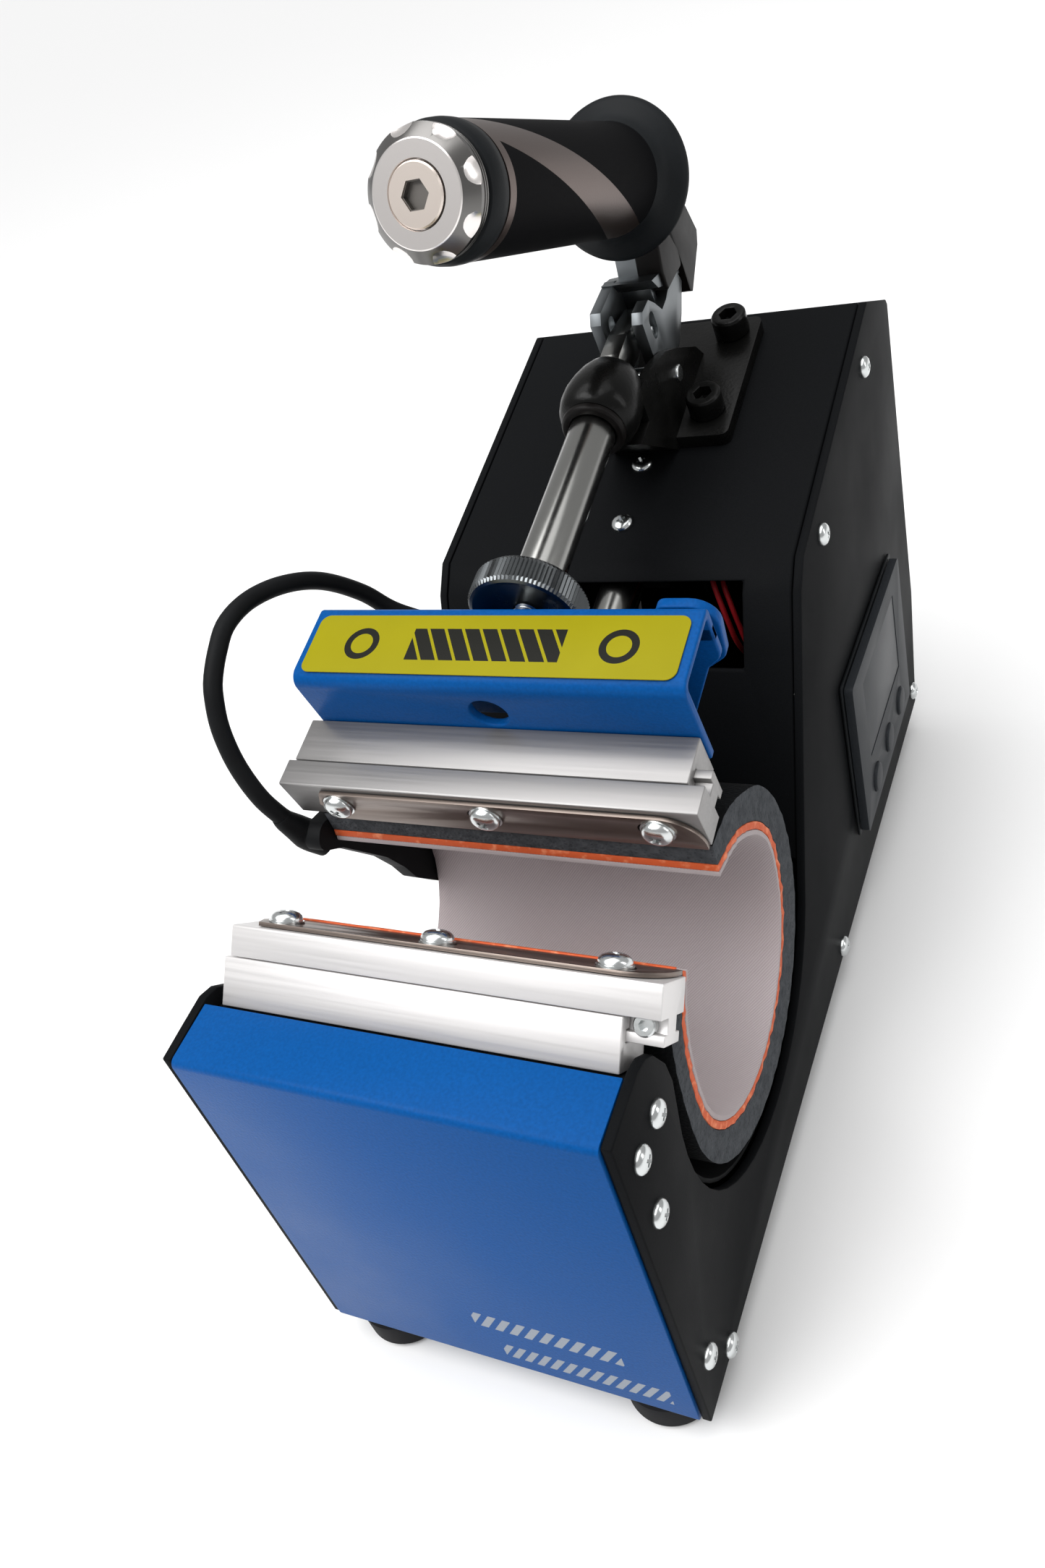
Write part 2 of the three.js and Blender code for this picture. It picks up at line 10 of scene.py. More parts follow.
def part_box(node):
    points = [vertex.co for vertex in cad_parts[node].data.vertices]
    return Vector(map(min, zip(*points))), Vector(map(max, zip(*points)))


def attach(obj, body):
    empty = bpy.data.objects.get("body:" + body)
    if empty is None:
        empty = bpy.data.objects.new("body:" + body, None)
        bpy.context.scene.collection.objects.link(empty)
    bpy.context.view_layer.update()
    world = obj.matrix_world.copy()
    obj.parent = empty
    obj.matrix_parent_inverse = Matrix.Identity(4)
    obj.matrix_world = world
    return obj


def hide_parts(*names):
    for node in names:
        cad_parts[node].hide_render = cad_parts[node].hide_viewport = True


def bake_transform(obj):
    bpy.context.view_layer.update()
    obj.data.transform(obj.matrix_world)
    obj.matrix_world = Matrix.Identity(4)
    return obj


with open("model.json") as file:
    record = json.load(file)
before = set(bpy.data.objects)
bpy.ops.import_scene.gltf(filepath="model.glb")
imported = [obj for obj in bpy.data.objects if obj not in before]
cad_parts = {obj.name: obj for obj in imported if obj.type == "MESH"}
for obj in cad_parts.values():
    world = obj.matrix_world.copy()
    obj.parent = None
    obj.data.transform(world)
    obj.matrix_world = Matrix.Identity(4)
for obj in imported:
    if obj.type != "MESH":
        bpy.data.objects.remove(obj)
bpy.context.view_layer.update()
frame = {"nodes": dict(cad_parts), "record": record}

# ---- driving sizes, in millimetres ----
ROOF_TILT = math.radians(16.17)
ROOF_EDGE = (0, 208, 182.5)
HANDLE_TILT = math.radians(56.97)
HANDLE_BASE = (0, 101.8, 76.3)
FOOT_HEIGHT = 13.5
PLUNGER_HEIGHT = 38.2
ROD_HEIGHT = -14.6
ROD_RADIUS = 7.6
BRACKET_HALF = 63.5
WRAP_LEFT = -61
WRAP_RIGHT = 68
CABLE_DIAMETER = 6
LEAD_DIAMETER = 1.9
CAP_FACE_R = 13.1
CAP_TEXTURE = 20        # radius that one unit of the end cap's texture spans
NUT_RADIUS = 18.5
KNURL_TEETH = 84

# ---- camera, light and finish ----
CAMERA_PLACE = (176.475, -143.255, 399.251)
CAMERA_LENS = 29.105
CAMERA_RIGHT = (0.89042305, 0.37578875, -0.25676761)
CAMERA_UP = (-0.05991825, 0.65603614, 0.75234725)
CAMERA_BACK = (0.45117246, -0.65452227, 0.6066663)
WORLD_STRENGTH = 0.5
SUN_STRENGTH = 2.3
SUN_SPREAD = 1.2        # radians across, for soft shadows
SUN_TILT = (math.radians(18), math.radians(-14), 0)
FLOOR_HALF = 60         # metres
BACK_SHIFT = 2.0        # texture offset that marks the outside of a wrap layer
# colour, roughness, grain, depth, specks and gloss
BLUE_COAT = ((0.002, 0.060, 0.225), 0.34, 1100, 0.00006, 0.12, 0.05)

# ---- printed marks, in metres; bars are (left, right, low, high, pitch) ----
PRINT_LEAN = 0.6
STRIPES_PER_M = 170
STRIPE_GAP = 0.18
BLOCK_HALF = (0.025, 0.0058)
RING_CENTRE = 0.042
RING_RADIUS = 0.0048
RING_HALF_LINE = 0.0011
FRONT_BARS = [(-0.004, 0.046, 0.038, 0.046, 0.005), (0.002, 0.058, 0.021, 0.029, 0.0044)]
BAR_SHARE = 0.55

# ---- bronze band of the grip, in degrees round it ----
BAND_START = 30
BAND_SWEEP = 135
BAND_HALF = 20
CUFF_SHARE = 0.035      # part of the grip's length

# ---- frames ----
left_low, left_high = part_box("left_side_plate")
right_low, right_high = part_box("right_side_plate")
ORIGIN = Vector(((left_low.x + right_high.x) / 2, right_low.y, right_low.z - FOOT_HEIGHT / 1000))
MM = Matrix.Scale(0.001, 4)
BODY = Matrix.Translation(ORIGIN) @ MM
SLOPE = BODY @ Matrix.Translation(ROOF_EDGE) @ Matrix.Rotation(ROOF_TILT, 4, "X")
FRONT_JAW = BODY @ Matrix.Translation((0, 31.4, 162.3)) @ Matrix.Rotation(math.radians(48), 4, "X")
REAR_JAW = SLOPE @ Matrix.Translation((0, -108.6, 31.5)) @ Matrix.Rotation(math.pi, 4, "Z")
HANDLE = SLOPE @ Matrix.Translation(HANDLE_BASE) @ Matrix.Rotation(HANDLE_TILT, 4, "X")

BODY_OF = {node: body for body, nodes in frame["record"]["behaviour"]["bodies"].items() for node in nodes}


# ---- camera, lights and floor ----
def point(x, y, z):
    return BODY @ Vector((x, y, z))


def add_camera():
    data = bpy.data.cameras.new("camera")
    data.lens = CAMERA_LENS
    data.sensor_width = 36
    data.clip_start = 0.01
    camera = bpy.data.objects.new("camera", data)
    bpy.context.collection.objects.link(camera)
    turn = Matrix((CAMERA_RIGHT, CAMERA_UP, CAMERA_BACK)).transposed().to_4x4()
    camera.matrix_world = Matrix.Translation(point(*CAMERA_PLACE)) @ turn
    bpy.context.scene.camera = camera


def area_light(name, position, target, size, power):
    data = bpy.data.lights.new(name, "AREA")
    data.shape = "RECTANGLE"
    data.size, data.size_y = size
    data.energy = power
    light = bpy.data.objects.new(name, data)
    bpy.context.collection.objects.link(light)
    light.location = position
    light.rotation_euler = (Vector(target) - Vector(position)).to_track_quat("-Z", "Y").to_euler()


def add_stage():
    world = bpy.data.worlds.new("studio")
    bpy.context.scene.world = world
    world.use_nodes = True
    background = world.node_tree.nodes["Background"]
    background.inputs["Color"].default_value = (1.0, 1.0, 1.0, 1)
    background.inputs["Strength"].default_value = WORLD_STRENGTH
    bpy.context.scene.view_settings.view_transform = "Standard"
    area_light("key", (-0.55, -0.75, 1.3), (0, 0, 0.15), (0.9, 0.7), 9)
    area_light("top", (0.1, 0.2, 1.6), (0, 0, 0.1), (1.4, 1.2), 8)
    area_light("right", (1.5, 0.1, 0.8), (0, 0, 0.1), (0.5, 1.0), 4)
    add_sun()
    add_floor()


def add_sun():
    data = bpy.data.lights.new("ceiling", "SUN")
    data.energy = SUN_STRENGTH
    data.angle = SUN_SPREAD
    light = bpy.data.objects.new("ceiling", data)
    bpy.context.collection.objects.link(light)
    light.rotation_euler = SUN_TILT


def add_floor():
    mesh = bpy.data.meshes.new("floor")
    corners = [(x * FLOOR_HALF, y * FLOOR_HALF, 0) for x, y in ((-1, -1), (1, -1), (1, 1), (-1, 1))]
    mesh.from_pydata(corners, [], [(0, 1, 2, 3)])
    floor = bpy.data.objects.new("floor", mesh)
    bpy.context.collection.objects.link(floor)
    floor.location.z = -0.0005
    paint = Paint("floor_white", (0.80, 0.80, 0.80), 0.8, specular_ior_level=0.1)
    mesh.materials.append(paint.material)


# ---- materials ----
class Paint:
    """A node material: one principled shader with helpers for detail."""

    def __init__(self, name, color, rough, metal=0.0, **extra):
        self.name = name
        self.material = bpy.data.materials.new(name)
        self.material.use_nodes = True
        self.tree = self.material.node_tree
        self.shader = self.tree.nodes["Principled BSDF"]
        self.set("Base Color", (*color, 1))
        self.set("Roughness", rough)
        self.set("Metallic", metal)
        for key, value in extra.items():
            self.set(key.replace("_", " ").title().replace("Ior", "IOR"), value)
        self.height = None

    def set(self, key, value):
        self.shader.inputs[key].default_value = value

    def node(self, kind, **values):
        node = self.tree.nodes.new("ShaderNode" + kind)
        for key, value in values.items():
            if hasattr(node, key):
                setattr(node, key, value)
            else:
                node.inputs[key.replace("_", " ")].default_value = value
        return node

    def link(self, source, target):
        self.tree.links.new(source, target)

    def place(self, kind="Object", stretch=(1, 1, 1), turn=(0, 0, 0)):
        coords = self.node("TexCoord")
        mapping = self.node("Mapping")
        mapping.inputs["Scale"].default_value = stretch
        mapping.inputs["Rotation"].default_value = turn
        self.link(coords.outputs[kind], mapping.inputs["Vector"])
        return mapping.outputs["Vector"]

    def split(self, vector):
        """The X, Y and Z of a vector."""
        node = self.node("SeparateXYZ")
        self.link(vector, node.inputs["Vector"])
        return node.outputs

    def noise(self, vector, scale, detail=3):
        node = self.node("TexNoise", Scale=scale, Detail=detail)
        self.link(vector, node.inputs["Vector"])
        return node.outputs["Fac"]

    def spots(self, vector, scale):
        node = self.node("TexVoronoi", Scale=scale)
        self.link(vector, node.inputs["Vector"])
        return node.outputs["Distance"]

    def waves(self, vector, scale, distortion=0.0):
        node = self.node("TexWave", bands_direction="X", Scale=scale, Distortion=distortion)
        self.link(vector, node.inputs["Vector"])
        return node.outputs["Fac"]

    def ramp(self, fac, low, high, low_at=0.0, high_at=1.0):
        node = self.node("MapRange")
        for key, value in (("From Min", low_at), ("From Max", high_at), ("To Min", low), ("To Max", high)):
            node.inputs[key].default_value = value
        self.link(fac, node.inputs["Value"])
        return node.outputs["Result"]

    def math(self, operation, a, b=0.0):
        node = self.node("Math", operation=operation)
        for socket, value in zip(node.inputs, (a, b)):
            if isinstance(value, (int, float)):
                socket.default_value = value
            else:
                self.link(value, socket)
        return node.outputs["Value"]

    def within(self, value, middle, half):
        """1 where a value is nearer to the middle than half, else 0."""
        return self.math("LESS_THAN", self.math("ABSOLUTE", self.math("SUBTRACT", value, middle)), half)

    def mix(self, fac, a, b):
        node = self.node("Mix", data_type="RGBA")
        for socket, value in ((node.inputs[6], a), (node.inputs[7], b)):
            if isinstance(value, tuple):
                socket.default_value = (*value, 1)
            else:
                self.link(value, socket)
        self.link(fac, node.inputs[0])
        return node.outputs[2]

    def color(self, source):
        self.link(source, self.shader.inputs["Base Color"])

    def rough(self, source):
        self.link(source, self.shader.inputs["Roughness"])

    def bump(self, height, distance, strength=1.0):
        node = self.node("Bump", Strength=strength, Distance=distance)
        self.link(height, node.inputs["Height"])
        if self.height is not None:
            self.link(self.height, node.inputs["Normal"])
        self.height = node.outputs["Normal"]
        self.link(self.height, self.shader.inputs["Normal"])
        return self


def powder_coat(name, color, rough, grain, depth, specks, gloss):
    """Sprayed coat with a fine grain and broad, faint changes of tone."""
    paint = Paint(name, color, rough, specular_ior_level=gloss)
    spot = paint.place()
    fine = paint.noise(spot, grain, 2)
    broad = paint.noise(spot, 18, 3)
    shade = paint.ramp(broad, 1 - specks, 1 + specks, 0.3, 0.7)
    bright = tuple(c * 1.25 for c in color)
    dark = tuple(c * 0.8 for c in color)
    paint.color(paint.mix(paint.math("MULTIPLY", fine, shade), dark, bright))
    paint.rough(paint.ramp(broad, rough - 0.06, rough + 0.06, 0.3, 0.7))
    return paint.bump(fine, depth)


def brushed_metal(name, color, rough, scale, tint, metal=1.0):
    """Fine straight grain along X, with faint handling marks."""
    paint = Paint(name, color, rough, metal)
    grain = paint.noise(paint.place(stretch=(scale * 0.02, scale, scale)), 1, 4)
    marks = paint.noise(paint.place(), 60, 5)
    dark = tuple(c * (1 - 2 * tint) for c in color)
    paint.color(paint.mix(paint.math("MULTIPLY", grain, paint.ramp(marks, 0.8, 1.2)), dark, color))
    paint.rough(paint.ramp(grain, rough - 0.05, rough + 0.08, 0.3, 0.7))
    return paint.bump(grain, 0.000006)


def satin_metal(name, color, rough, patch):
    """Cast or turned metal with soft tonal patches."""
    paint = Paint(name, color, rough, 1.0)
    tone = paint.noise(paint.place(), patch, 2)
    dark = tuple(c * 0.85 for c in color)
    paint.color(paint.mix(tone, dark, color))
    paint.rough(paint.ramp(tone, rough - 0.04, rough + 0.05, 0.3, 0.7))
    return paint


def rubber(name, color, rough, grain=1800, depth=0.00003, gloss=0.25):
    """Dull dark surface with a fine grain and a little dust; also plastic and painted castings."""
    paint = Paint(name, color, rough, specular_ior_level=gloss)
    spot = paint.place()
    fine = paint.noise(spot, grain, 2)
    dust = paint.noise(spot, 45, 4)
    grey = tuple(c * 1.5 + 0.002 for c in color)
    paint.color(paint.mix(paint.ramp(dust, 0, 0.8, 0.45, 0.75), color, grey))
    paint.rough(paint.ramp(dust, rough - 0.08, rough + 0.08, 0.3, 0.7))
    return paint.bump(fine, depth)


def turned_cap():
    """Pale satin face and a polished bevel painted dark, a painted reflection of dark surroundings; the
    texture's first axis is the radius.
    """
    paint = Paint("cap_metal", (0.74, 0.70, 0.67), 0.26, 1.0)
    radius = paint.split(paint.place("UV"))["X"]
    # beyond the flat face the polished bevel takes a dark colour: a painted reflection of dark surroundings
    bevel = paint.math("GREATER_THAN", radius, CAP_FACE_R / CAP_TEXTURE + 0.002)
    paint.color(paint.mix(bevel, (0.80, 0.76, 0.74), (0.16, 0.155, 0.15)))
    return paint


def polished(name, color, rough):
    """Bright metal with faint scratches."""
    paint = Paint(name, color, rough, 1.0)
    marks = paint.noise(paint.place(stretch=(40, 40, 900)), 1, 3)
    paint.rough(paint.ramp(marks, rough, rough + 0.05, 0.4, 0.8))
    return paint


def twill_lining():
    """Woven lining: slanted threads, a finer cross thread and a few warm stains."""
    paint = Paint("twill_lining", (0.40, 0.33, 0.33), 0.9, sheen_weight=0.1, specular_ior_level=0.15)
    diagonal = paint.place("UV", turn=(0, 0, math.radians(38)))
    thread = paint.waves(diagonal, 420)
    cross = paint.waves(paint.place("UV", turn=(0, 0, math.radians(-52))), 700, 0.4)
    stain = paint.noise(paint.place("UV"), 14, 3)
    weave = paint.math("MULTIPLY", thread, paint.ramp(cross, 0.6, 1.0))
    shade = paint.mix(weave, (0.335, 0.29, 0.297), (0.445, 0.395, 0.40))
    paint.color(paint.mix(paint.ramp(stain, 0, 0.5, 0.45, 0.8), shade, (0.34, 0.26, 0.25)))
    return paint.bump(weave, 0.00012, 0.6)


def silicone_heater():
    """Orange silicone with pale torn spots."""
    paint = Paint("silicone_heater", (0.55, 0.10, 0.03), 0.6, specular_ior_level=0.2)
    torn = paint.noise(paint.place(), 300, 6)
    pale = paint.ramp(torn, 0, 1, 0.52, 0.68)
    paint.color(paint.mix(pale, (0.50, 0.085, 0.025), (0.66, 0.21, 0.10)))
    return paint.bump(torn, 0.0004)


def speckled_foam():
    """Grey foam with open cells on its cut faces; its outer face is plain and near-black."""
    paint = Paint("speckled_foam", (0.05, 0.055, 0.065), 0.95, specular_ior_level=0.1)
    spot = paint.place()
    cells = paint.spots(spot, 900)
    blotch = paint.noise(spot, 350, 4)
    base = paint.mix(blotch, (0.018, 0.021, 0.024), (0.085, 0.09, 0.098))
    cut = paint.mix(paint.ramp(cells, 0.6, 0, 0.05, 0.35), base, (0.008, 0.009, 0.011))
    outside = paint.math("GREATER_THAN", paint.split(paint.place("UV"))["X"], BACK_SHIFT / 2)
    paint.color(paint.mix(outside, cut, (0.0035, 0.004, 0.0045)))
    return paint.bump(cells, 0.0003)


def label_vinyl():
    """Yellow vinyl: a black block with thin slanted stripes, and a plain ring on each side."""
    paint = Paint("label_vinyl", (0.27, 0.24, 0.01), 0.42, specular_ior_level=0.06)
    coords = paint.place("UV")
    parts = paint.split(coords)
    x, y = parts["X"], parts["Y"]
    lean = paint.math("ADD", x, paint.math("MULTIPLY", y, PRINT_LEAN))
    stripe = paint.math("FRACT", paint.math("MULTIPLY", lean, STRIPES_PER_M))
    solid = paint.math("GREATER_THAN", stripe, STRIPE_GAP)
    block = paint.math("MULTIPLY", paint.within(x, 0, BLOCK_HALF[0]), paint.within(y, 0, BLOCK_HALF[1]))
    away = paint.math("SUBTRACT", paint.math("ABSOLUTE", x), RING_CENTRE)
    up = paint.math("ABSOLUTE", y)
    reach = paint.math("SQRT", paint.math("ADD", paint.math("POWER", away, 2), paint.math("POWER", up, 2)))
    ring = paint.within(reach, RING_RADIUS, RING_HALF_LINE)
    ink = paint.math("MAXIMUM", ring, paint.math("MULTIPLY", solid, block))
    tone = paint.mix(paint.noise(coords, 40, 3), (0.225, 0.20, 0.004), (0.265, 0.238, 0.006))
    paint.color(paint.mix(ink, tone, (0.012, 0.012, 0.010)))
    return paint.bump(paint.noise(coords, 500, 2), 0.00002)


def striped_front():
    """The blue coat with two rows of pale slanted bars low on its right."""
    paint = powder_coat("front_blue", *BLUE_COAT)
    plain = paint.shader.inputs["Base Color"].links[0].from_socket
    parts = paint.split(paint.place())
    x = paint.math("SUBTRACT", parts["X"], ORIGIN.x)
    z = paint.math("SUBTRACT", parts["Z"], ORIGIN.z)
    lean = paint.math("SUBTRACT", x, paint.math("MULTIPLY", z, PRINT_LEAN))
    ink = 0.0
    for left, right, low, high, pitch in FRONT_BARS:
        bar = paint.math("LESS_THAN", paint.math("FRACT", paint.math("DIVIDE", lean, pitch)), BAR_SHARE)
        wide = paint.within(x, (right + left) / 2, (right - left) / 2)
        tall = paint.within(z, (low + high) / 2, (high - low) / 2)
        ink = paint.math("MAXIMUM", ink, paint.math("MULTIPLY", bar, paint.math("MULTIPLY", wide, tall)))
    paint.color(paint.mix(ink, plain, (0.27, 0.30, 0.34)))
    return paint


def grip_skin():
    """Dark rubber panels with a sweeping bronze-grey band and cuff between them."""
    paint = Paint("grip_skin", (0.02, 0.02, 0.022), 0.6, specular_ior_level=0.02)
    parts = paint.split(paint.place("UV"))
    turn, along = parts["X"], parts["Y"]
    centre = paint.math("ADD", BAND_START, paint.math("MULTIPLY", along, BAND_SWEEP))
    degrees = paint.math("MULTIPLY", turn, 360)
    distance = paint.math("PINGPONG", paint.math("SUBTRACT", degrees, centre), 90)
    band = paint.math("LESS_THAN", distance, BAND_HALF)
    cuff = paint.math("LESS_THAN", along, CUFF_SHARE)
    bare = paint.math("MAXIMUM", band, cuff)
    grain = paint.noise(paint.place(), 2200, 2)
    paint.color(paint.mix(bare, (0.004, 0.004, 0.0045), (0.13, 0.10, 0.09)))
    paint.rough(paint.ramp(bare, 0.62, 0.36))
    paint.link(bare, paint.shader.inputs["Metallic"])
    paint.bump(paint.math("SUBTRACT", 1.0, bare), 0.0004)
    return paint.bump(grain, 0.00003)


paints = {}


def make_paints():
    panel_grey = (0.021, 0.0235, 0.027)
    for paint in (
            powder_coat("powder_black", (0.0050, 0.0054, 0.0060), 0.5, 2600, 0.00004, 0.25, 0.02),
            powder_coat("tray_black", (0.003, 0.0034, 0.004), 0.7, 2600, 0.00004, 0.25, 0.06),
            powder_coat("powder_blue", *BLUE_COAT),
            striped_front(),
            rubber("foot_rubber", (0.006, 0.006, 0.007), 0.7, gloss=0.1),
            brushed_metal("front_aluminium", (0.66, 0.645, 0.64), 0.42, 900, 0.03, 0.6),
            brushed_metal("bar_aluminium", (0.29, 0.283, 0.28), 0.42, 900, 0.05, 0.8),
            brushed_metal("strip_steel", (0.20, 0.165, 0.145), 0.34, 1500, 0.06),
            twill_lining(),
            silicone_heater(),
            speckled_foam(),
            rubber("cast_black", (0.003, 0.003, 0.0028), 0.30, 700, 0.00006, 0.14),
            rubber("lever_black", (0.004, 0.0032, 0.003), 0.45, 300, 0.00003, 0.12),
            polished("bright_steel", (0.28, 0.28, 0.27), 0.2),
            polished("screw_steel", (0.60, 0.62, 0.62), 0.2),
            satin_metal("nut_steel", (0.13, 0.139, 0.145), 0.24, 120),
            satin_metal("zinc_steel", (0.20, 0.215, 0.225), 0.38, 90),
            turned_cap(),
            satin_metal("bolt_metal", (0.74, 0.66, 0.60), 0.34, 12),
            # painted shade for the inside of the bolt's hexagon socket
            satin_metal("recess_painted_shade", (0.16, 0.15, 0.14), 0.4, 60),
            label_vinyl(),
            rubber("grip_rubber", (0.0055, 0.0065, 0.0075), 0.5, gloss=0.1),
            grip_skin(),
            rubber("cable_rubber", (0.004, 0.0044, 0.005), 0.6, gloss=0.1),
            rubber("black_plastic", (0.0045, 0.005, 0.0055), 0.45, 900, gloss=0.15),
            powder_coat("panel_plastic", panel_grey, 0.5, 1500, 0.00003, 0.1, 0.1),
            powder_coat("panel_key", panel_grey, 0.5, 1500, 0.00003, 0.1, 0.1),
            powder_coat("window_glass", (0.020, 0.0225, 0.026), 0.4, 700, 0.00001, 0.08, 0.1),
            Paint("rocker_red", (0.42, 0.012, 0.012), 0.22, coat_weight=0.4),
            rubber("lead_red", (0.28, 0.008, 0.012), 0.45),
            Paint("board_green", (0.015, 0.10, 0.04), 0.35)):
        paints[paint.name] = paint


# ---- mesh helpers ----
def publish(name, bm, paint, body, matrix=BODY, bevel=0.0, segments=2, smooth=32, node=None):
    """Turn a bmesh into a finished piece that rides on a body; it may stand for a CAD node."""
    bmesh.ops.transform(bm, matrix=matrix, verts=bm.verts)
    bmesh.ops.recalc_face_normals(bm, faces=bm.faces)
    mesh = bpy.data.meshes.new(name)
    bm.to_mesh(mesh)
    bm.free()
    piece = bpy.data.objects.new(name, mesh)
    bpy.context.collection.objects.link(piece)
    if bevel:
        apply_bevel(piece, bevel / 1000, segments)
    piece.data.shade_smooth()
    piece.data.set_sharp_from_angle(angle=math.radians(smooth))
    piece.data.materials.clear()
    piece.data.materials.append(paints[paint].material)
    if body:
        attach(piece, body)
    if node:
        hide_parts(node)
    return piece


def apply_bevel(piece, width, segments):
    modifier = piece.modifiers.new("bevel", "BEVEL")
    modifier.width = width
    modifier.segments = segments
    modifier.limit_method = "ANGLE"
    modifier.angle_limit = math.radians(36)
    graph = bpy.context.evaluated_depsgraph_get()
    mesh = bpy.data.meshes.new_from_object(piece.evaluated_get(graph))
    piece.modifiers.clear()
    old = piece.data
    piece.data = mesh
    bpy.data.meshes.remove(old)
    mesh.name = piece.name


def detail(node, paint, bevel=0.4, segments=2, smooth=32):
    """The CAD node's own shape with broken edges and a real finish."""
    bm = bmesh.new()
    bm.from_mesh(frame["nodes"][node].data)
    bmesh.ops.remove_doubles(bm, verts=bm.verts, dist=1e-6)
    bmesh.ops.dissolve_limit(bm, angle_limit=math.radians(0.6), verts=bm.verts, edges=bm.edges)
    in_place = Matrix.Identity(4)
    return publish(node + "_finish", bm, paint, BODY_OF[node], in_place, bevel, segments, smooth, node)


def prism(outline, low, high, axis="x"):
    """Closed outline of (a, b) pairs pulled from low to high along an axis."""
    bm = bmesh.new()
    place = {
        "x": lambda a, b, h: (h, a, b),
        "y": lambda a, b, h: (a, h, b),
        "z": lambda a, b, h: (a, b, h),
    }[axis]
    near = [bm.verts.new(place(a, b, low)) for a, b in outline]
    far = [bm.verts.new(place(a, b, high)) for a, b in outline]
    bm.faces.new(near)
    bm.faces.new(list(reversed(far)))
    count = len(outline)
    for i in range(count):
        j = (i + 1) % count
        bm.faces.new((near[i], near[j], far[j], far[i]))
    return bm


def lathe(profile, steps, matrix=None):
    """Profile of (radius, height) pairs turned about local Z; ends on the axis or closes on itself."""
    bm = bmesh.new()
    rings = []
    for radius, height in profile:
        if radius < 1e-6:
            rings.append([bm.verts.new((0, 0, height))] * steps)
            continue
        ring = []
        for i in range(steps):
            angle = 2 * math.pi * i / steps
            ring.append(bm.verts.new((radius * math.cos(angle), radius * math.sin(angle), height)))
        rings.append(ring)
    closed = profile[0][0] > 1e-6
    pairs = list(zip(rings, rings[1:])) + ([(rings[-1], rings[0])] if closed else [])
    for low, high in pairs:
        for i in range(steps):
            j = (i + 1) % steps
            corners = []
            for vert in (low[i], low[j], high[j], high[i]):
                if vert not in corners:
                    corners.append(vert)
            if len(corners) > 2:
                bm.faces.new(corners)
    if matrix is not None:
        bmesh.ops.transform(bm, matrix=matrix, verts=bm.verts)
    return bm


def merged(*meshes):
    """Several bmeshes as one."""
    target = bmesh.new()
    for source in meshes:
        mesh = bpy.data.meshes.new("part")
        source.to_mesh(mesh)
        source.free()
        target.from_mesh(mesh)
        bpy.data.meshes.remove(mesh)
    return target


def fillet(points, radius, steps=5):
    """Round each corner of a closed outline; radius is one number or one per corner."""
    count = len(points)
    radii = [radius] * count if isinstance(radius, (int, float)) else radius
    result = []
    for i, (x, y) in enumerate(points):
        before, corner, after = Vector(points[i - 1]), Vector((x, y)), Vector(points[(i + 1) % count])
        a, b = (before - corner).normalized(), (after - corner).normalized()
        half = a.angle(b) / 2
        r = radii[i]
        if r < 1e-6 or half > 1.55:
            result.append((x, y))
            continue
        reach = min(r / math.tan(half), (before - corner).length * 0.49, (after - corner).length * 0.49)
        r = reach * math.tan(half)
        centre = corner + (a + b).normalized() * (r / math.sin(half))
        start, end = corner + a * reach - centre, corner + b * reach - centre
        swing = start.angle_signed(end)
        for step in range(steps + 1):
            turned = start.copy()
            turned.rotate(Matrix.Rotation(-swing * step / steps, 2))
            result.append(tuple(centre + turned))
    return result


def arc(y, z, radius, start, end, steps):
    """Points on a circle from one angle to another, in degrees."""
    angles = [math.radians(start + (end - start) * i / steps) for i in range(steps + 1)]
    return [(y + radius * math.cos(a), z + radius * math.sin(a)) for a in angles]


def spline(points, count):
    """Evenly spaced points on a smooth curve through the given points."""
    pts = [Vector(p) for p in points]
    dense = []
    for i in range(len(pts) - 1):
        p0, p1, p2, p3 = pts[max(i - 1, 0)], pts[i], pts[i + 1], pts[min(i + 2, len(pts) - 1)]
        for k in range(24):
            t = k / 24
            dense.append(0.5 * ((2 * p1) + (p2 - p0) * t + (2 * p0 - 5 * p1 + 4 * p2 - p3) * t * t
                                + (3 * p1 - p0 - 3 * p2 + p3) * t ** 3))
    dense.append(pts[-1])
    lengths = [0.0]
    for a, b in zip(dense, dense[1:]):
        lengths.append(lengths[-1] + (b - a).length)
    result, i = [], 0
    for k in range(count + 1):
        want = lengths[-1] * k / count
        while i < len(dense) - 2 and lengths[i + 1] < want:
            i += 1
        span = lengths[i + 1] - lengths[i]
        result.append(dense[i].lerp(dense[i + 1], (want - lengths[i]) / span if span else 0))
    return result


def offset(points, distance):
    """Points of an open (y, z) line moved to the right of travel."""
    result = []
    for i, p in enumerate(points):
        a, b = Vector(points[max(i - 1, 0)]), Vector(points[min(i + 1, len(points) - 1)])
        along = (b - a).normalized()
        result.append((p[0] + along.y * distance, p[1] - along.x * distance))
    return result


def tube(points, radii, sides):
    """Round tube along 3-D points, with a radius for each point."""
    bm = bmesh.new()
    normal = Vector((0, 0, 1))
    rings = []
    for i, p in enumerate(points):
        along = (points[min(i + 1, len(points) - 1)] - points[max(i - 1, 0)]).normalized()
        normal = (normal - along * normal.dot(along)).normalized()
        side = along.cross(normal)
        ring = []
        for k in range(sides):
            angle = 2 * math.pi * k / sides
            ring.append(bm.verts.new(p + (normal * math.cos(angle) + side * math.sin(angle)) * radii[i]))
        rings.append(ring)
    for low, high in zip(rings, rings[1:]):
        for k in range(sides):
            j = (k + 1) % sides
            bm.faces.new((low[k], low[j], high[j], high[k]))
    bm.faces.new(rings[0])
    bm.faces.new(list(reversed(rings[-1])))
    return bm


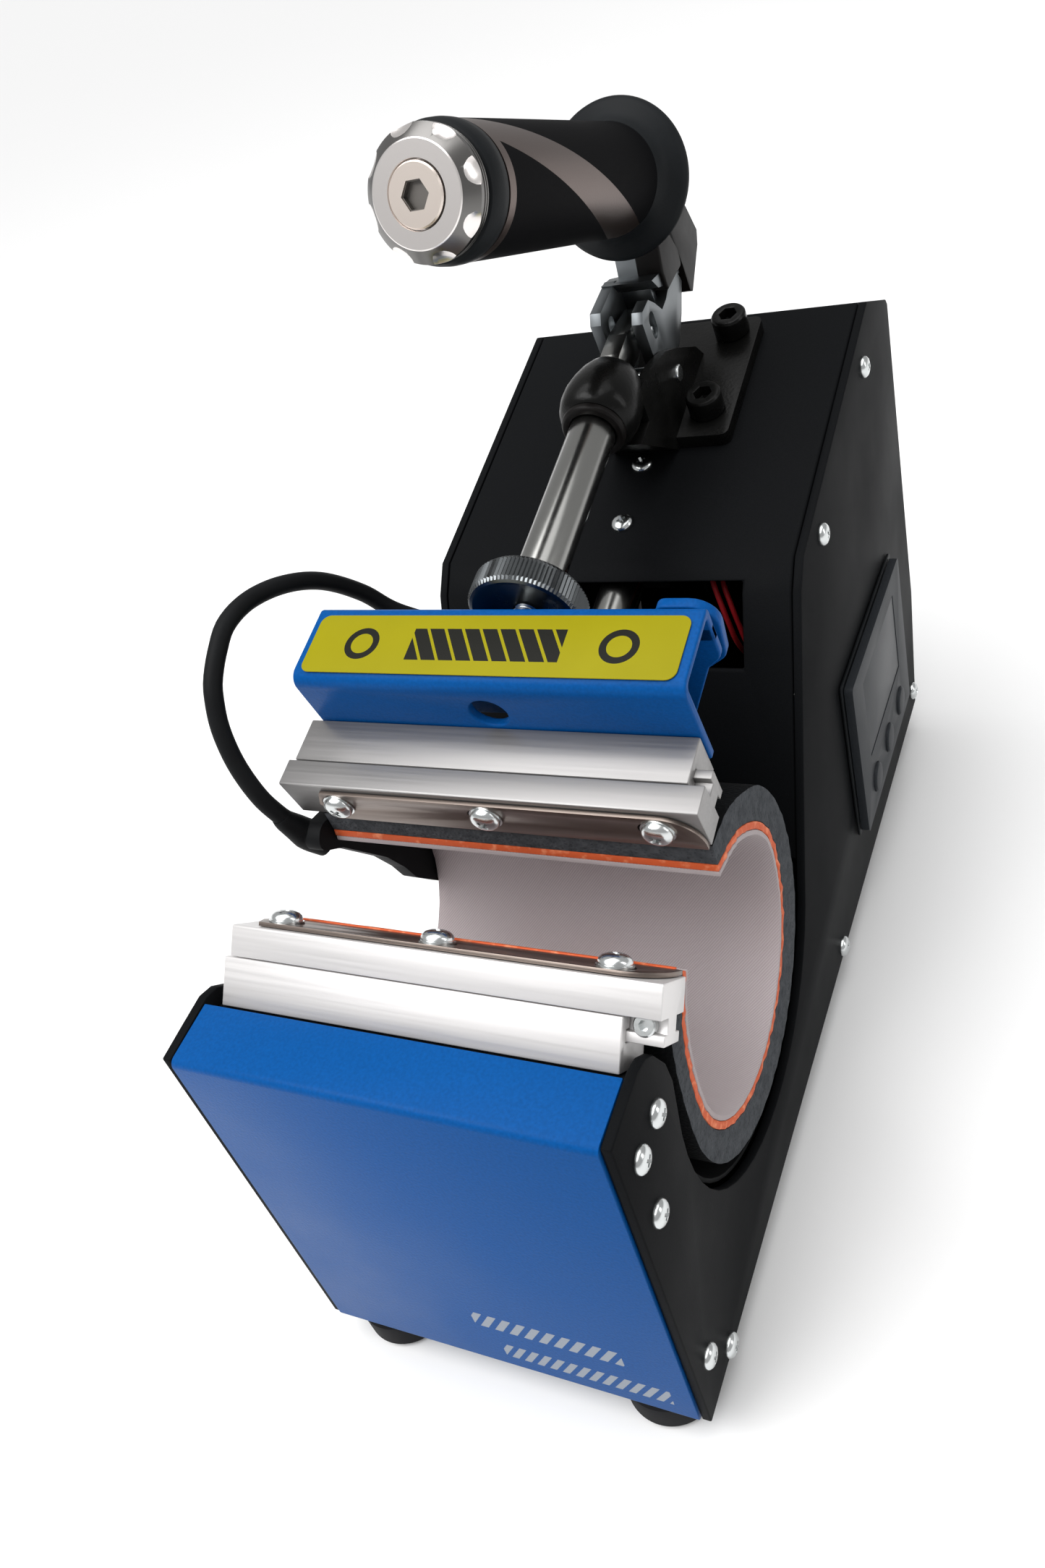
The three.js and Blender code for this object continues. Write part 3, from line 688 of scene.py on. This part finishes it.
# ---- fasteners ----
def pan_head(radius, height, matrix):
    """Domed pan head with a cross recess, base at local z = 0."""
    profile = [(0, 0), (radius, 0), (radius, height * 0.28), (radius * 0.93, height * 0.55),
               (radius * 0.74, height * 0.82), (radius * 0.45, height * 0.97), (0, height)]
    head = lathe(profile, 32)
    cut_cross(head, radius, height)
    bmesh.ops.transform(head, matrix=matrix, verts=head.verts)
    return head


def cut_cross(head, radius, height):
    """Two crossed slots that narrow as they go down."""
    half_wide, half_long, deep = radius * 0.13, radius * 0.55, height * 0.55
    corners = [(-half_long, -half_wide), (half_long, -half_wide), (half_long, half_wide),
               (-half_long, half_wide)]
    for turn in (0, math.pi / 2):
        bar = bmesh.new()
        top, low = [], []
        for x, y in corners:
            top.append(bar.verts.new((x, y, height * 1.3)))
            low.append(bar.verts.new((x * 0.35, y * 0.7, height - deep)))
        bar.faces.new(top)
        bar.faces.new(list(reversed(low)))
        for i in range(4):
            j = (i + 1) % 4
            bar.faces.new((top[j], top[i], low[i], low[j]))
        bmesh.ops.transform(bar, matrix=Matrix.Rotation(turn + 0.6, 4, "Z"), verts=bar.verts)
        subtract(head, bar)


def subtract(target, tool):
    combine(target, tool, "DIFFERENCE")


def combine(target, tool, operation):
    """Cut one bmesh out of another, or fuse it on, in place."""
    for source in (target, tool):
        bmesh.ops.recalc_face_normals(source, faces=source.faces)
    objects = []
    for source in (target, tool):
        mesh = bpy.data.meshes.new("cutting")
        source.to_mesh(mesh)
        obj = bpy.data.objects.new("cutting", mesh)
        bpy.context.collection.objects.link(obj)
        objects.append(obj)
    modifier = objects[0].modifiers.new("cut", "BOOLEAN")
    modifier.object = objects[1]
    modifier.operation = operation
    modifier.solver = "EXACT"
    graph = bpy.context.evaluated_depsgraph_get()
    result = bpy.data.meshes.new_from_object(objects[0].evaluated_get(graph))
    target.clear()
    target.from_mesh(result)
    tool.free()
    for obj in objects:
        mesh = obj.data
        bpy.data.objects.remove(obj)
        bpy.data.meshes.remove(mesh)
    bpy.data.meshes.remove(result)


def facing(origin, normal):
    """Frame at origin whose local Z points along a level normal."""
    z = Vector(normal).normalized()
    x = Vector((0, 0, 1)).cross(z).normalized()
    y = z.cross(x)
    turn = Matrix((x, y, z)).transposed().to_4x4()
    return Matrix.Translation(origin) @ turn


def hexagon(radius):
    return arc(0, 0, radius, 0, 300, 5)


def hex_socket(radius, depth, top):
    """Cutter for a hexagon socket; it stands 2 mm proud of the top."""
    return prism(hexagon(radius), top - depth, top + 2, "z")


# ---- body ----
def build_body():
    for side in ("left", "right"):
        detail(f"{side}_side_plate", "powder_black", 0.5, 2)
    detail("top_cover", "powder_black", 1.8, 4)
    detail("rear_cover", "powder_black", 0.6)
    detail("heater_tray", "tray_black", 0.3)
    detail("base_plate", "powder_black", 0.4)
    detail("front_jaw_beam", "powder_black", 0.8)
    outside = [(12, 13.8), (-1, 13.8), (-1, 153), (19, 155)]
    inside = [(19, 152.9), (1, 151.2), (1, 15.8), (12, 15.8)]
    cover = prism(fillet(outside + inside, [0, 1.6, 2.6, 0, 0, 0.8, 0.5, 0], 6), -64.7, 64.7)
    publish("front_cover_finish", cover, "front_blue", "base", BODY, 0.3, 2, 32, "front_cover")
    for node in sorted(BODY_OF):
        if node.startswith("foot_"):
            build_foot(node)
    build_side_screws()


def build_foot(node):
    low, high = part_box(node)
    centre = (low + high) / 2
    height = (high.z - low.z) * 1000
    profile = [(0, 0.0), (12.8, 0), (14.2, 0.5), (14.9, 1.8), (15, height - 1.2), (14.4, height - 0.3),
               (13.6, height), (0, height)]
    matrix = Matrix.Translation((centre.x, centre.y, low.z)) @ MM
    publish(node + "_finish", lathe(profile, 72), "foot_rubber", "base", matrix, 0, 2, 28, node)


def build_side_screws():
    places = [(311, 199), (231, 176.6), (344, 24), (187, 18.5), (22.6, 136.7), (9.8, 135.5), (9.5, 112.1),
              (9.5, 36.3), (22.2, 18)]
    heads = []
    for y, z in places:
        for side in (-1, 1):
            heads.append(pan_head(4, 2.5, facing((side * 68, y, z), (side, 0, 0))))
    publish("side_screws", merged(*heads), "screw_steel", "base", BODY)
    roof = [pan_head(4, 2.4, Matrix.Translation((0, u, 0))) for u in (16.8, 45.7)]
    publish("roof_screws", merged(*roof), "screw_steel", "base", SLOPE)


# ---- clamp bars ----
def build_jaws():
    """The bars and strips of both jaws; their screws and the silicone edge follow."""
    detail("front_fixed_bar", "front_aluminium", 0.35)
    detail("front_heater_bar", "front_aluminium", 0.35)
    detail("rear_fixed_bar", "bar_aluminium", 0.35)
    detail("rear_heater_bar", "bar_aluminium", 0.35)
    detail("front_clamp_strip", "strip_steel", 0.2)
    detail("rear_clamp_strip", "strip_steel", 0.2)
    washer = [(2.4, -0.6), (5.1, -0.6), (5.1, 0), (2.4, 0)]
    for name, places, matrix, body in (
            ("front_strip_screws", (-46.3, 4.1, 56.1), FRONT_JAW, "base"),
            ("rear_strip_screws", (49.2, -2.2, -55.3), REAR_JAW, "carriage")):
        heads = []
        for x in places:
            seat = facing((x, 11.3, -7.4), (0, 1, 0))
            heads += [pan_head(4.6, 2.9, seat), lathe(washer, 32, seat)]
        publish(name, merged(*heads), "screw_steel", body, matrix)
    ragged = [(-54.5 + 6.5 * i, -17.5 + 0.35 * math.sin(i * 2.1)) for i in range(20)]
    edge = prism([(-54.5, -15.8)] + ragged + [(69, -15.8)], 9.3, 11.1, "y")
    publish("silicone_edge", edge, "silicone_heater", "base", FRONT_JAW, 0.2, 2, 40)
    socket = lathe([(0, 0), (3, 0), (3, 2.4), (2.6, 2.8), (0, 2.8)], 32)
    subtract(socket, hex_socket(1.5, 1.8, 2.8))
    publish("neck_set_screw", socket, "screw_steel", "base", FRONT_JAW @ Matrix.Translation((66.5, -2, -5.4)))


# ---- heater wrap ----
INNER = [(59, 149.5), (53.9, 142.6), (50.4, 133.6), (48.8, 123.6), *arc(90.6, 113.2, 42.1, 180, 360, 12),
         (132.2, 121.5), (129.8, 129), (124.6, 136.4), (118.5, 142), (109.8, 147.8), (101, 150.6),
         (91.2, 151.8)]
OUTER = [(49.8, 158.2), (43.8, 150.6), (39.7, 140.6), (37.9, 127), *arc(93.4, 108.5, 55.6, 181, 359, 12),
         (148.4, 118), (146.4, 127), (141.2, 138.6), (132.6, 149.7), (123.5, 156.2), (114.6, 160.8),
         (107.2, 163.6), (99, 164.5), (90.8, 164)]


def band_side(bm, line, x0, x1, columns, uneven):
    """Rows of points for one side of a layer; the first and last rows waver."""
    rows = []
    for c in range(columns + 1):
        x = x0 + (x1 - x0) * c / columns
        row = []
        for i, (y, z) in enumerate(line):
            edge = uneven * math.sin(i * 2.3) * math.sin(i * 0.71 + 1) if c in (0, columns) else 0
            row.append(bm.verts.new((x + edge, y, z)))
        rows.append(row)
    return rows


def band_mesh(inside, outside, x0, x1, columns, uneven):
    """A layer of the wrap between two (y, z) lines, with slightly uneven cut ends and edges."""
    bm = bmesh.new()
    layer = bm.loops.layers.uv.new("UVMap")
    count = len(inside)
    travel = [0.0]
    for a, b in zip(inside, inside[1:]):
        travel.append(travel[-1] + math.dist(a, b) / 1000)
    near = band_side(bm, inside, x0, x1, columns, uneven)
    far = band_side(bm, outside, x0, x1, columns, uneven)

    def face(corners, places):
        made = bm.faces.new(corners)
        for loop, (u, v) in zip(made.loops, places):
            loop[layer].uv = (u, v)

    for c in range(columns):
        u0 = (x0 + (x1 - x0) * c / columns) / 1000
        u1 = (x0 + (x1 - x0) * (c + 1) / columns) / 1000
        for i in range(count - 1):
            places = [(u0, travel[i]), (u1, travel[i]), (u1, travel[i + 1]), (u0, travel[i + 1])]
            face((near[c][i], near[c + 1][i], near[c + 1][i + 1], near[c][i + 1]), places)
            back = [(u + BACK_SHIFT, v) for u, v in places]
            back = [back[0], back[3], back[2], back[1]]
            face((far[c][i], far[c][i + 1], far[c + 1][i + 1], far[c + 1][i]), back)
        for i in (0, count - 1):
            places = [(u0, travel[i]), (u1, travel[i]), (u1, travel[i] + 0.01), (u0, travel[i] + 0.01)]
            face((near[c][i], near[c + 1][i], far[c + 1][i], far[c][i]), places)
    for c, x in ((0, x0), (columns, x1)):
        for i in range(count - 1):
            places = [(x / 1000, travel[i]), (x / 1000, travel[i + 1]), (x / 1000 + 0.01, travel[i + 1]),
                      (x / 1000 + 0.01, travel[i])]
            face((near[c][i], near[c][i + 1], far[c][i + 1], far[c][i]), places)
    return bm


def build_wrap():
    inner = [tuple(p) for p in spline(INNER, 110)]
    outer = [tuple(p) for p in spline(OUTER, 110)]
    layers = [
        ("wrap_lining", inner, offset(inner, 1.6), "twill_lining", 0.1),
        ("wrap_heater", offset(inner, 1.75), offset(inner, 4.1), "silicone_heater", 0.35),
        ("wrap_foam", offset(inner, 4.25), outer, "speckled_foam", 0.15),
    ]
    for node, inside, outside, paint, uneven in layers:
        bm = band_mesh(inside, outside, WRAP_LEFT, WRAP_RIGHT, 28, uneven)
        piece = publish(node + "_finish", bm, paint, None, BODY, 0.25, 2, 40, node)
        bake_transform(piece)


# ---- pressure bracket ----
def build_bracket():
    bent = fillet([(-93.1, 20), (-93.1, 52.5), (-64.6, 52.5), (-64.6, 40), (-67.3, 40), (-67.3, 50),
                   (-90.1, 50), (-90.1, 20)], [0.8, 4.5, 2.2, 0, 0, 1.2, 1.8, 0.8], 8)
    shell = prism(bent, -BRACKET_HALF, BRACKET_HALF)
    tail = fillet([(-BRACKET_HALF, 46), (-BRACKET_HALF, 33), (-58.5, 28), (-48.7, 5), (-44, 1), (44, 1),
                   (48.7, 5), (58.5, 28), (BRACKET_HALF, 33), (BRACKET_HALF, 46)],
                  [0, 5, 4, 3, 3, 3, 3, 4, 5, 0], 5)
    back = prism(tail, -67.3, -64.6, "y")
    shell = merged(shell, back)
    subtract(shell, lathe([(0, -8), (6, -8), (6, 8), (0, 8)], 40, along_slope(-91.6, PLUNGER_HEIGHT)))
    publish("pressure_bracket_finish", shell, "powder_blue", "carriage", SLOPE, 0.7, 3, 30,
            "pressure_bracket")
    plate = [(-24, 28), (-24, 2), (-13, -22), (13, -22), (32, 2), (63, 28), (65, 50), (47, 50), (43, 28)]
    outline = fillet(plate, [3, 3, 4, 4, 6, 6, 8, 3, 3], 6)
    publish("carriage_plate_finish", prism(outline, -63, -59.5, "y"), "powder_blue", "carriage", SLOPE, 0.6,
            3, 30, "carriage_plate")
    build_label()


def build_label():
    half_x, half_y, middle = 60.7, 10.9, -79.4
    corners = [(-half_x, -half_y), (half_x, -half_y), (half_x, half_y), (-half_x, half_y)]
    outline = fillet(corners, 3.2, 8)
    bm = prism(outline, 52.75, 53.1, "z")
    layer = bm.loops.layers.uv.new("UVMap")
    for face in bm.faces:
        for loop in face.loops:
            loop[layer].uv = (loop.vert.co.x / 1000, loop.vert.co.y / 1000)
    place = SLOPE @ Matrix.Translation((0, middle, 0))
    publish("label_plate_finish", bm, "label_vinyl", "carriage", place, 0.08, 2, 30, "label_plate")


# ---- plunger, stud and nut ----
def along_slope(u, h):
    """Frame whose local Z runs up the roof."""
    return facing((0, u, h), (0, 1, 0))


def build_plunger():
    axis = along_slope(0, PLUNGER_HEIGHT)
    barrel = lathe([(4.3, -45.2), (7.2, -45.2), (7.9, -44.5), (7.9, 47), (4.3, 47)], 72, axis)
    side = [(42, 33.2), (70, 33.2), (77, 34.5), (82, 37.6), (80.5, 41), (62, 45), (52, 45), (42, 43.2)]
    tongue = prism(fillet(side, [0, 4, 3, 1.5, 1.5, 5, 4, 0], 4), -3.6, 3.6)
    publish("plunger_finish", merged(barrel, tongue), "bright_steel", "carriage", SLOPE, 0.2, 2, 30,
            "plunger")
    build_guide_rod()
    build_stud(axis)
    build_guide_block()
    build_stud_nut(axis)
    detail("plunger_pin", "screw_steel", 0.4)
    build_nut()


def build_guide_rod():
    r = ROD_RADIUS
    profile = [(0, -66), (r - 1, -66), (r, -65.1), (r, 69), (r - 1, 70), (0, 70)]
    rod = lathe(profile, 72, along_slope(0, ROD_HEIGHT))
    publish("guide_rod_finish", rod, "bright_steel", "carriage", SLOPE, 0, 2, 30, "guide_rod")


def build_stud(axis):
    thread = [(0, -78)]
    for i in range(38):
        u = -78 + i * 1.25
        thread += [(3.45, u), (4.0, u + 0.6)]
    stud = lathe(thread + [(0, -31)], 40, axis)
    publish("jaw_stud_finish", stud, "screw_steel", "carriage", SLOPE, 0, 2, 20, "jaw_stud")


def build_guide_block():
    """Block under the roof that the rod slides through."""
    bore = ROD_RADIUS + 0.3
    block = prism([(-12, -27), (12, -27), (12, -2.4), (-12, -2.4)], 10, 52, "y")
    subtract(block, lathe([(0, 5), (bore, 5), (bore, 60), (0, 60)], 48, along_slope(0, ROD_HEIGHT)))
    publish("guide_block_finish", block, "black_plastic", "base", SLOPE, 0.8, 3, 30, "guide_block")


def build_stud_nut(axis):
    """Washer and lock nut on the stud."""
    washer = lathe([(4.3, -47.2), (9.5, -47.2), (9.5, -45.6), (4.3, -45.6)], 56, axis)
    publish("nut_washer_finish", washer, "screw_steel", "carriage", SLOPE, 0.25, 2, 30, "nut_washer")
    nut = prism(hexagon(7.5), -74.2, -67.6, "z")
    subtract(nut, lathe([(0, -80), (4.3, -80), (4.3, -66), (0, -66)], 32))
    bmesh.ops.transform(nut, matrix=axis, verts=nut.verts)
    publish("stud_nut_finish", nut, "screw_steel", "carriage", SLOPE, 0.5, 2, 30, "stud_nut")


def build_nut():
    """Thumb nut: straight knurl, polished chamfers, dished front face."""
    bm = bmesh.new()
    profile = [(4.3, -55.2, 0), (10.5, -55.6, 0), (14.6, -57.2, 0), (16.6, -57.5, 0), (17.6, -57.1, 0),
               (NUT_RADIUS - 0.15, -56.0, 1), (NUT_RADIUS - 0.15, -49.0, 1), (17.6, -47.9, 0),
               (16.6, -47.5, 0), (4.3, -47.5, 0)]
    steps = KNURL_TEETH * 2
    rings = []
    for radius, u, knurl in profile:
        ring = []
        for i in range(steps):
            angle = 2 * math.pi * i / steps
            r = radius + (0.15 if i % 2 else -0.38) * knurl
            ring.append(bm.verts.new((r * math.cos(angle), r * math.sin(angle), u)))
        rings.append(ring)
    for low, high in zip(rings, rings[1:] + rings[:1]):
        for i in range(steps):
            j = (i + 1) % steps
            bm.faces.new((low[i], low[j], high[j], high[i]))
    bmesh.ops.transform(bm, matrix=along_slope(0, PLUNGER_HEIGHT), verts=bm.verts)
    publish("pressure_nut_finish", bm, "nut_steel", "nut", SLOPE, 0, 2, 22, "pressure_nut")


# ---- toggle clamp ----
def build_casting():
    """Tapered hood on a rib, two ears for the pivot pin and a flat foot, fused into one casting."""
    hood = [(8.2, 24.3), (10.8, 24.3), (12.2, 25.4), (13.3, 27.6), (13.9, 31), (13.8, 35), (12.9, 39.5),
            (11.5, 44), (9.8, 47.5), (8.2, 48)]
    ear = [(38, 22), (38, 40), (50, 38.4), (58, 36), (67, 32), (76, 26), (92, 13), (98, 4), (50, 4)]
    rib = [(27, 27), (50, 27), (70, 5), (70, 0.3), (52, 0.3)]
    casting = lathe(hood, 96, along_slope(0, PLUNGER_HEIGHT))
    foot = fillet([(-31.5, 53), (31.5, 53), (31.5, 115.5), (-31.5, 115.5)], 3, 5)
    ears = [prism(ear, 9.9, 12.7), prism(ear, -12.7, -9.9)]
    for piece in ears + [prism(rib, -12.7, 12.7), prism(foot, 0.3, 5.3, "z")]:
        combine(casting, piece, "UNION")
    publish("clamp_base_finish", casting, "cast_black", "base", SLOPE, 0.8, 3, 40, "clamp_base")


def build_clamp():
    build_casting()
    ring = lathe([(8.2, 21.5), (10.2, 21.5), (11, 22.3), (11, 24), (8.2, 24)], 64,
                 along_slope(0, PLUNGER_HEIGHT))
    publish("barrel_ring_finish", ring, "lever_black", "base", SLOPE, 0.3, 3, 30, "barrel_ring")
    detail("lever_pivot_pin", "screw_steel", 0.5, 3)
    detail("lever_yoke", "zinc_steel", 1.1, 3, 40)
    web = prism([(86, 27), (89, 27), (89, 42.5), (86, 44)], -5.6, 5.6)
    publish("yoke_web", web, "zinc_steel", "handle", SLOPE, 0.4, 2, 30)
    detail("lever_arm", "lever_black", 1.6, 4, 40)
    outline = [(87.8, 41), (87.8, 48.5), (89.4, 53.5), (91.9, 60.4), (96, 67), (104, 60), (106, 44),
               (105, 38.5), (96, 40)]
    face = prism(fillet(outline, 1.5, 3), 1.5, 11)
    publish("lever_face", face, "lever_black", "handle", SLOPE, 0.8, 3, 40)
    for node in sorted(BODY_OF):
        if node.startswith("clamp_screw"):
            build_cap_screw(node)


def build_cap_screw(node):
    x = -21.5 if "left" in node else 21.5
    u = 66 if "front" in node else 108
    head = lathe([(0, 0), (6.3, 0), (6.5, 0.4), (6.5, 7.2), (5.9, 8), (0, 8)], 56)
    subtract(head, hex_socket(3.5, 4, 8))
    publish(node + "_finish", head, "cast_black", "base", SLOPE @ Matrix.Translation((x, u, 5.6)), 0.25, 2,
            30, node)


# ---- handle ----
def build_handle():
    flange = [(8.3, 0.3), (22, 0.3), (24.6, 1.0), (25.35, 2.6), (25.0, 4.2), (23.6, 5.3), (20.4, 7.0),
              (18.6, 9.4), (17.7, 12), (8.3, 12)]
    publish("grip_flange_finish", lathe(flange, 96), "grip_rubber", "handle", HANDLE, 0, 2, 50, "grip_flange")
    build_sleeve()
    collar = [(8.3, 120.2), (17.0, 120.2), (17.8, 121.2), (17.85, 124), (17.6, 127.4), (16.9, 128.8),
              (15, 129.5), (8.3, 129.5)]
    publish("grip_collar_finish", lathe(collar, 96), "grip_rubber", "handle", HANDLE, 0, 2, 40, "grip_collar")
    build_cap()
    build_bolt()


def build_sleeve():
    """Grip sleeve; its texture runs once round it, and along it from the free end."""
    sleeve = lathe([(8.3, 12.1), (17.55, 12.1), (17.6, 20), (17.6, 100), (17.55, 119.8), (8.3, 119.8)], 96)
    layer = sleeve.loops.layers.uv.new("UVMap")
    for face in sleeve.faces:
        middle = face.calc_center_median()
        for loop in face.loops:
            co = loop.vert.co
            turn = math.degrees(math.atan2(co.x, co.y))
            reference = math.degrees(math.atan2(middle.x, middle.y))
            while turn - reference > 180:
                turn -= 360
            while turn - reference < -180:
                turn += 360
            loop[layer].uv = (turn / 360, (120 - co.z) / 108)
    publish("grip_sleeve_finish", sleeve, "grip_skin", "handle", HANDLE, 0, 2, 50, "grip_sleeve")


def build_bolt():
    """Bolt in the end cap, with a dark cup of painted shade inside its hexagon socket."""
    bolt = lathe([(0, 126.3), (4, 126.3), (4, 135.5), (7.8, 135.5), (8, 135.9), (8, 138.2), (7.6, 138.7),
                  (0, 138.7)], 64)
    subtract(bolt, hex_socket(4.1, 2.6, 138.7))
    publish("grip_bolt_finish", bolt, "bolt_metal", "handle", HANDLE, 0, 2, 20, "grip_bolt")
    # a thin dark cup inside the hexagon socket: painted shade in the recess
    shade_cup = hex_socket(4.05, 0, 136.2)
    subtract(shade_cup, hex_socket(3.75, 0, 136.5))
    publish("bolt_socket_painted_shade", shade_cup, "recess_painted_shade", "handle", HANDLE, 0, 2, 20)


def build_cap():
    """Turned end cap: three grooves, a polished bevel painted dark as a painted reflection, and eight
    scallops round its rim.
    """
    profile = [(4.3, 129.8), (15.6, 129.8), (16.5, 130.1), (16.5, 130.7), (15.7, 130.9), (15.7, 131.2),
               (16.6, 131.4), (16.6, 132.0), (15.8, 132.2), (15.8, 132.5), (16.65, 132.7), (16.65, 134.2),
               (CAP_FACE_R, 137.8), (12.8, 138), (8.5, 138), (8.3, 137.7), (8.3, 135.3), (4.3, 135.3)]
    cap = lathe(profile, 128)
    layer = cap.loops.layers.uv.new("UVMap")
    for face in cap.faces:
        for loop in face.loops:
            radius = math.hypot(loop.vert.co.x, loop.vert.co.y)
            loop[layer].uv = (radius / CAP_TEXTURE, loop.vert.co.z / 200)
    swing = [math.radians(-90 + 10 * k) for k in range(1, 18)]
    ball = [(0, -9)] + [(9 * math.cos(a), 9 * math.sin(a)) for a in swing] + [(0, 9)]
    for i in range(8):
        angle = math.radians(45 * i + 12)
        centre = Vector((22.65 * math.cos(angle), 22.65 * math.sin(angle), 139.5))
        subtract(cap, lathe(ball, 48, Matrix.Translation(centre)))
    publish("grip_end_cap_finish", cap, "cap_metal", "handle", HANDLE, 0, 2, 24, "grip_end_cap")


# ---- panel, electrics ----
def build_electrics():
    for node, paint, bevel in (
            ("panel_gasket", "grip_rubber", 0.3), ("control_panel", "panel_plastic", 0.5),
            ("display_window", "window_glass", 0.3), ("controller_board", "board_green", 0.2),
            ("solid_state_relay", "black_plastic", 0.8), ("power_inlet", "black_plastic", 0.6),
            ("switch_body", "black_plastic", 0.6), ("switch_rocker", "rocker_red", 0.8),
            ("cable_gland", "black_plastic", 0.6)):
        detail(node, paint, bevel, 3)
    for i in (1, 2, 3):
        detail(f"panel_key_{i}", "panel_key", 0.8, 3)


# ---- heater cable and leads ----
HOUSING = [(82, 155), (92.7, 147), (109.7, 126), (116, 115), (119.5, 106.6), (135.3, 88.2), (143, 95.4),
           (149, 118), (140, 138), (124, 152), (106, 158.5), (95, 160), (87, 161.5)]


def build_housing():
    """Moulded connector block on the wrap's end, with a boot that swells out of the cable."""
    block = prism(fillet(HOUSING, 5, 4), -67.3, -61.6)
    boot = [(-72.9, 84.7, 167), (-72.5, 85.2, 164.6), (-71.2, 86.8, 160.5), (-69.4, 89, 155), (-67, 92, 150)]
    swell = [3.2 + 1.9 * min(1, i / 9) for i in range(17)]
    combine(block, tube(spline(boot, 16), swell, 20), "UNION")
    publish("connector_housing_finish", block, "cable_rubber", BODY_OF["connector_housing"], BODY, 0.9, 3, 40,
            "connector_housing")


CABLE = [(-38, 204, 157), (-38, 196, 157.5), (-43, 187.5, 162), (-55, 178.6, 175), (-66.3, 169.6, 187.6),
         (-72, 163, 199.5), (-76, 150.6, 212.2), (-79, 136.3, 220.3), (-81, 121, 224.6),
         (-82, 108.7, 224.2), (-82.5, 100.9, 219.7), (-82.5, 94, 214), (-82, 90.2, 209.1),
         (-81.5, 86.8, 201.3), (-80, 84.4, 192.1), (-78, 83.3, 183.7), (-75.5, 83.4, 174.5),
         (-72.5, 85, 166)]
LEAD = [(28, 232, 166), (30, 224, 170), (32.5, 216, 168), (35, 213, 161), (36.4, 213.5, 152), (37, 216, 143),
        (37, 223, 133), (38, 232, 126)]


def build_cable():
    centre = spline(CABLE, 90)
    bm = tube(centre, [CABLE_DIAMETER / 2] * len(centre), 20)
    cable = publish("heater_cable_finish", bm, "cable_rubber", None, BODY, 0, 2, 50, "heater_cable")
    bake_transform(cable)


def build_leads():
    """Two red leads that hang from under the roof down to the controller."""
    for number, shift in ((1, (0, 0, 0)), (2, (3.0, 1.6, -1.6))):
        centre = spline([Vector(p) + Vector(shift) for p in LEAD], 60)
        bm = tube(centre, [LEAD_DIAMETER / 2] * len(centre), 12)
        lead = publish(f"red_lead_{number}", bm, "lead_red", "base", BODY, 0, 2, 50)


add_camera()
make_paints()
add_stage()
build_body()
build_jaws()
build_wrap()
build_bracket()
build_plunger()
build_clamp()
build_handle()
build_electrics()
build_housing()
build_cable()
build_leads()
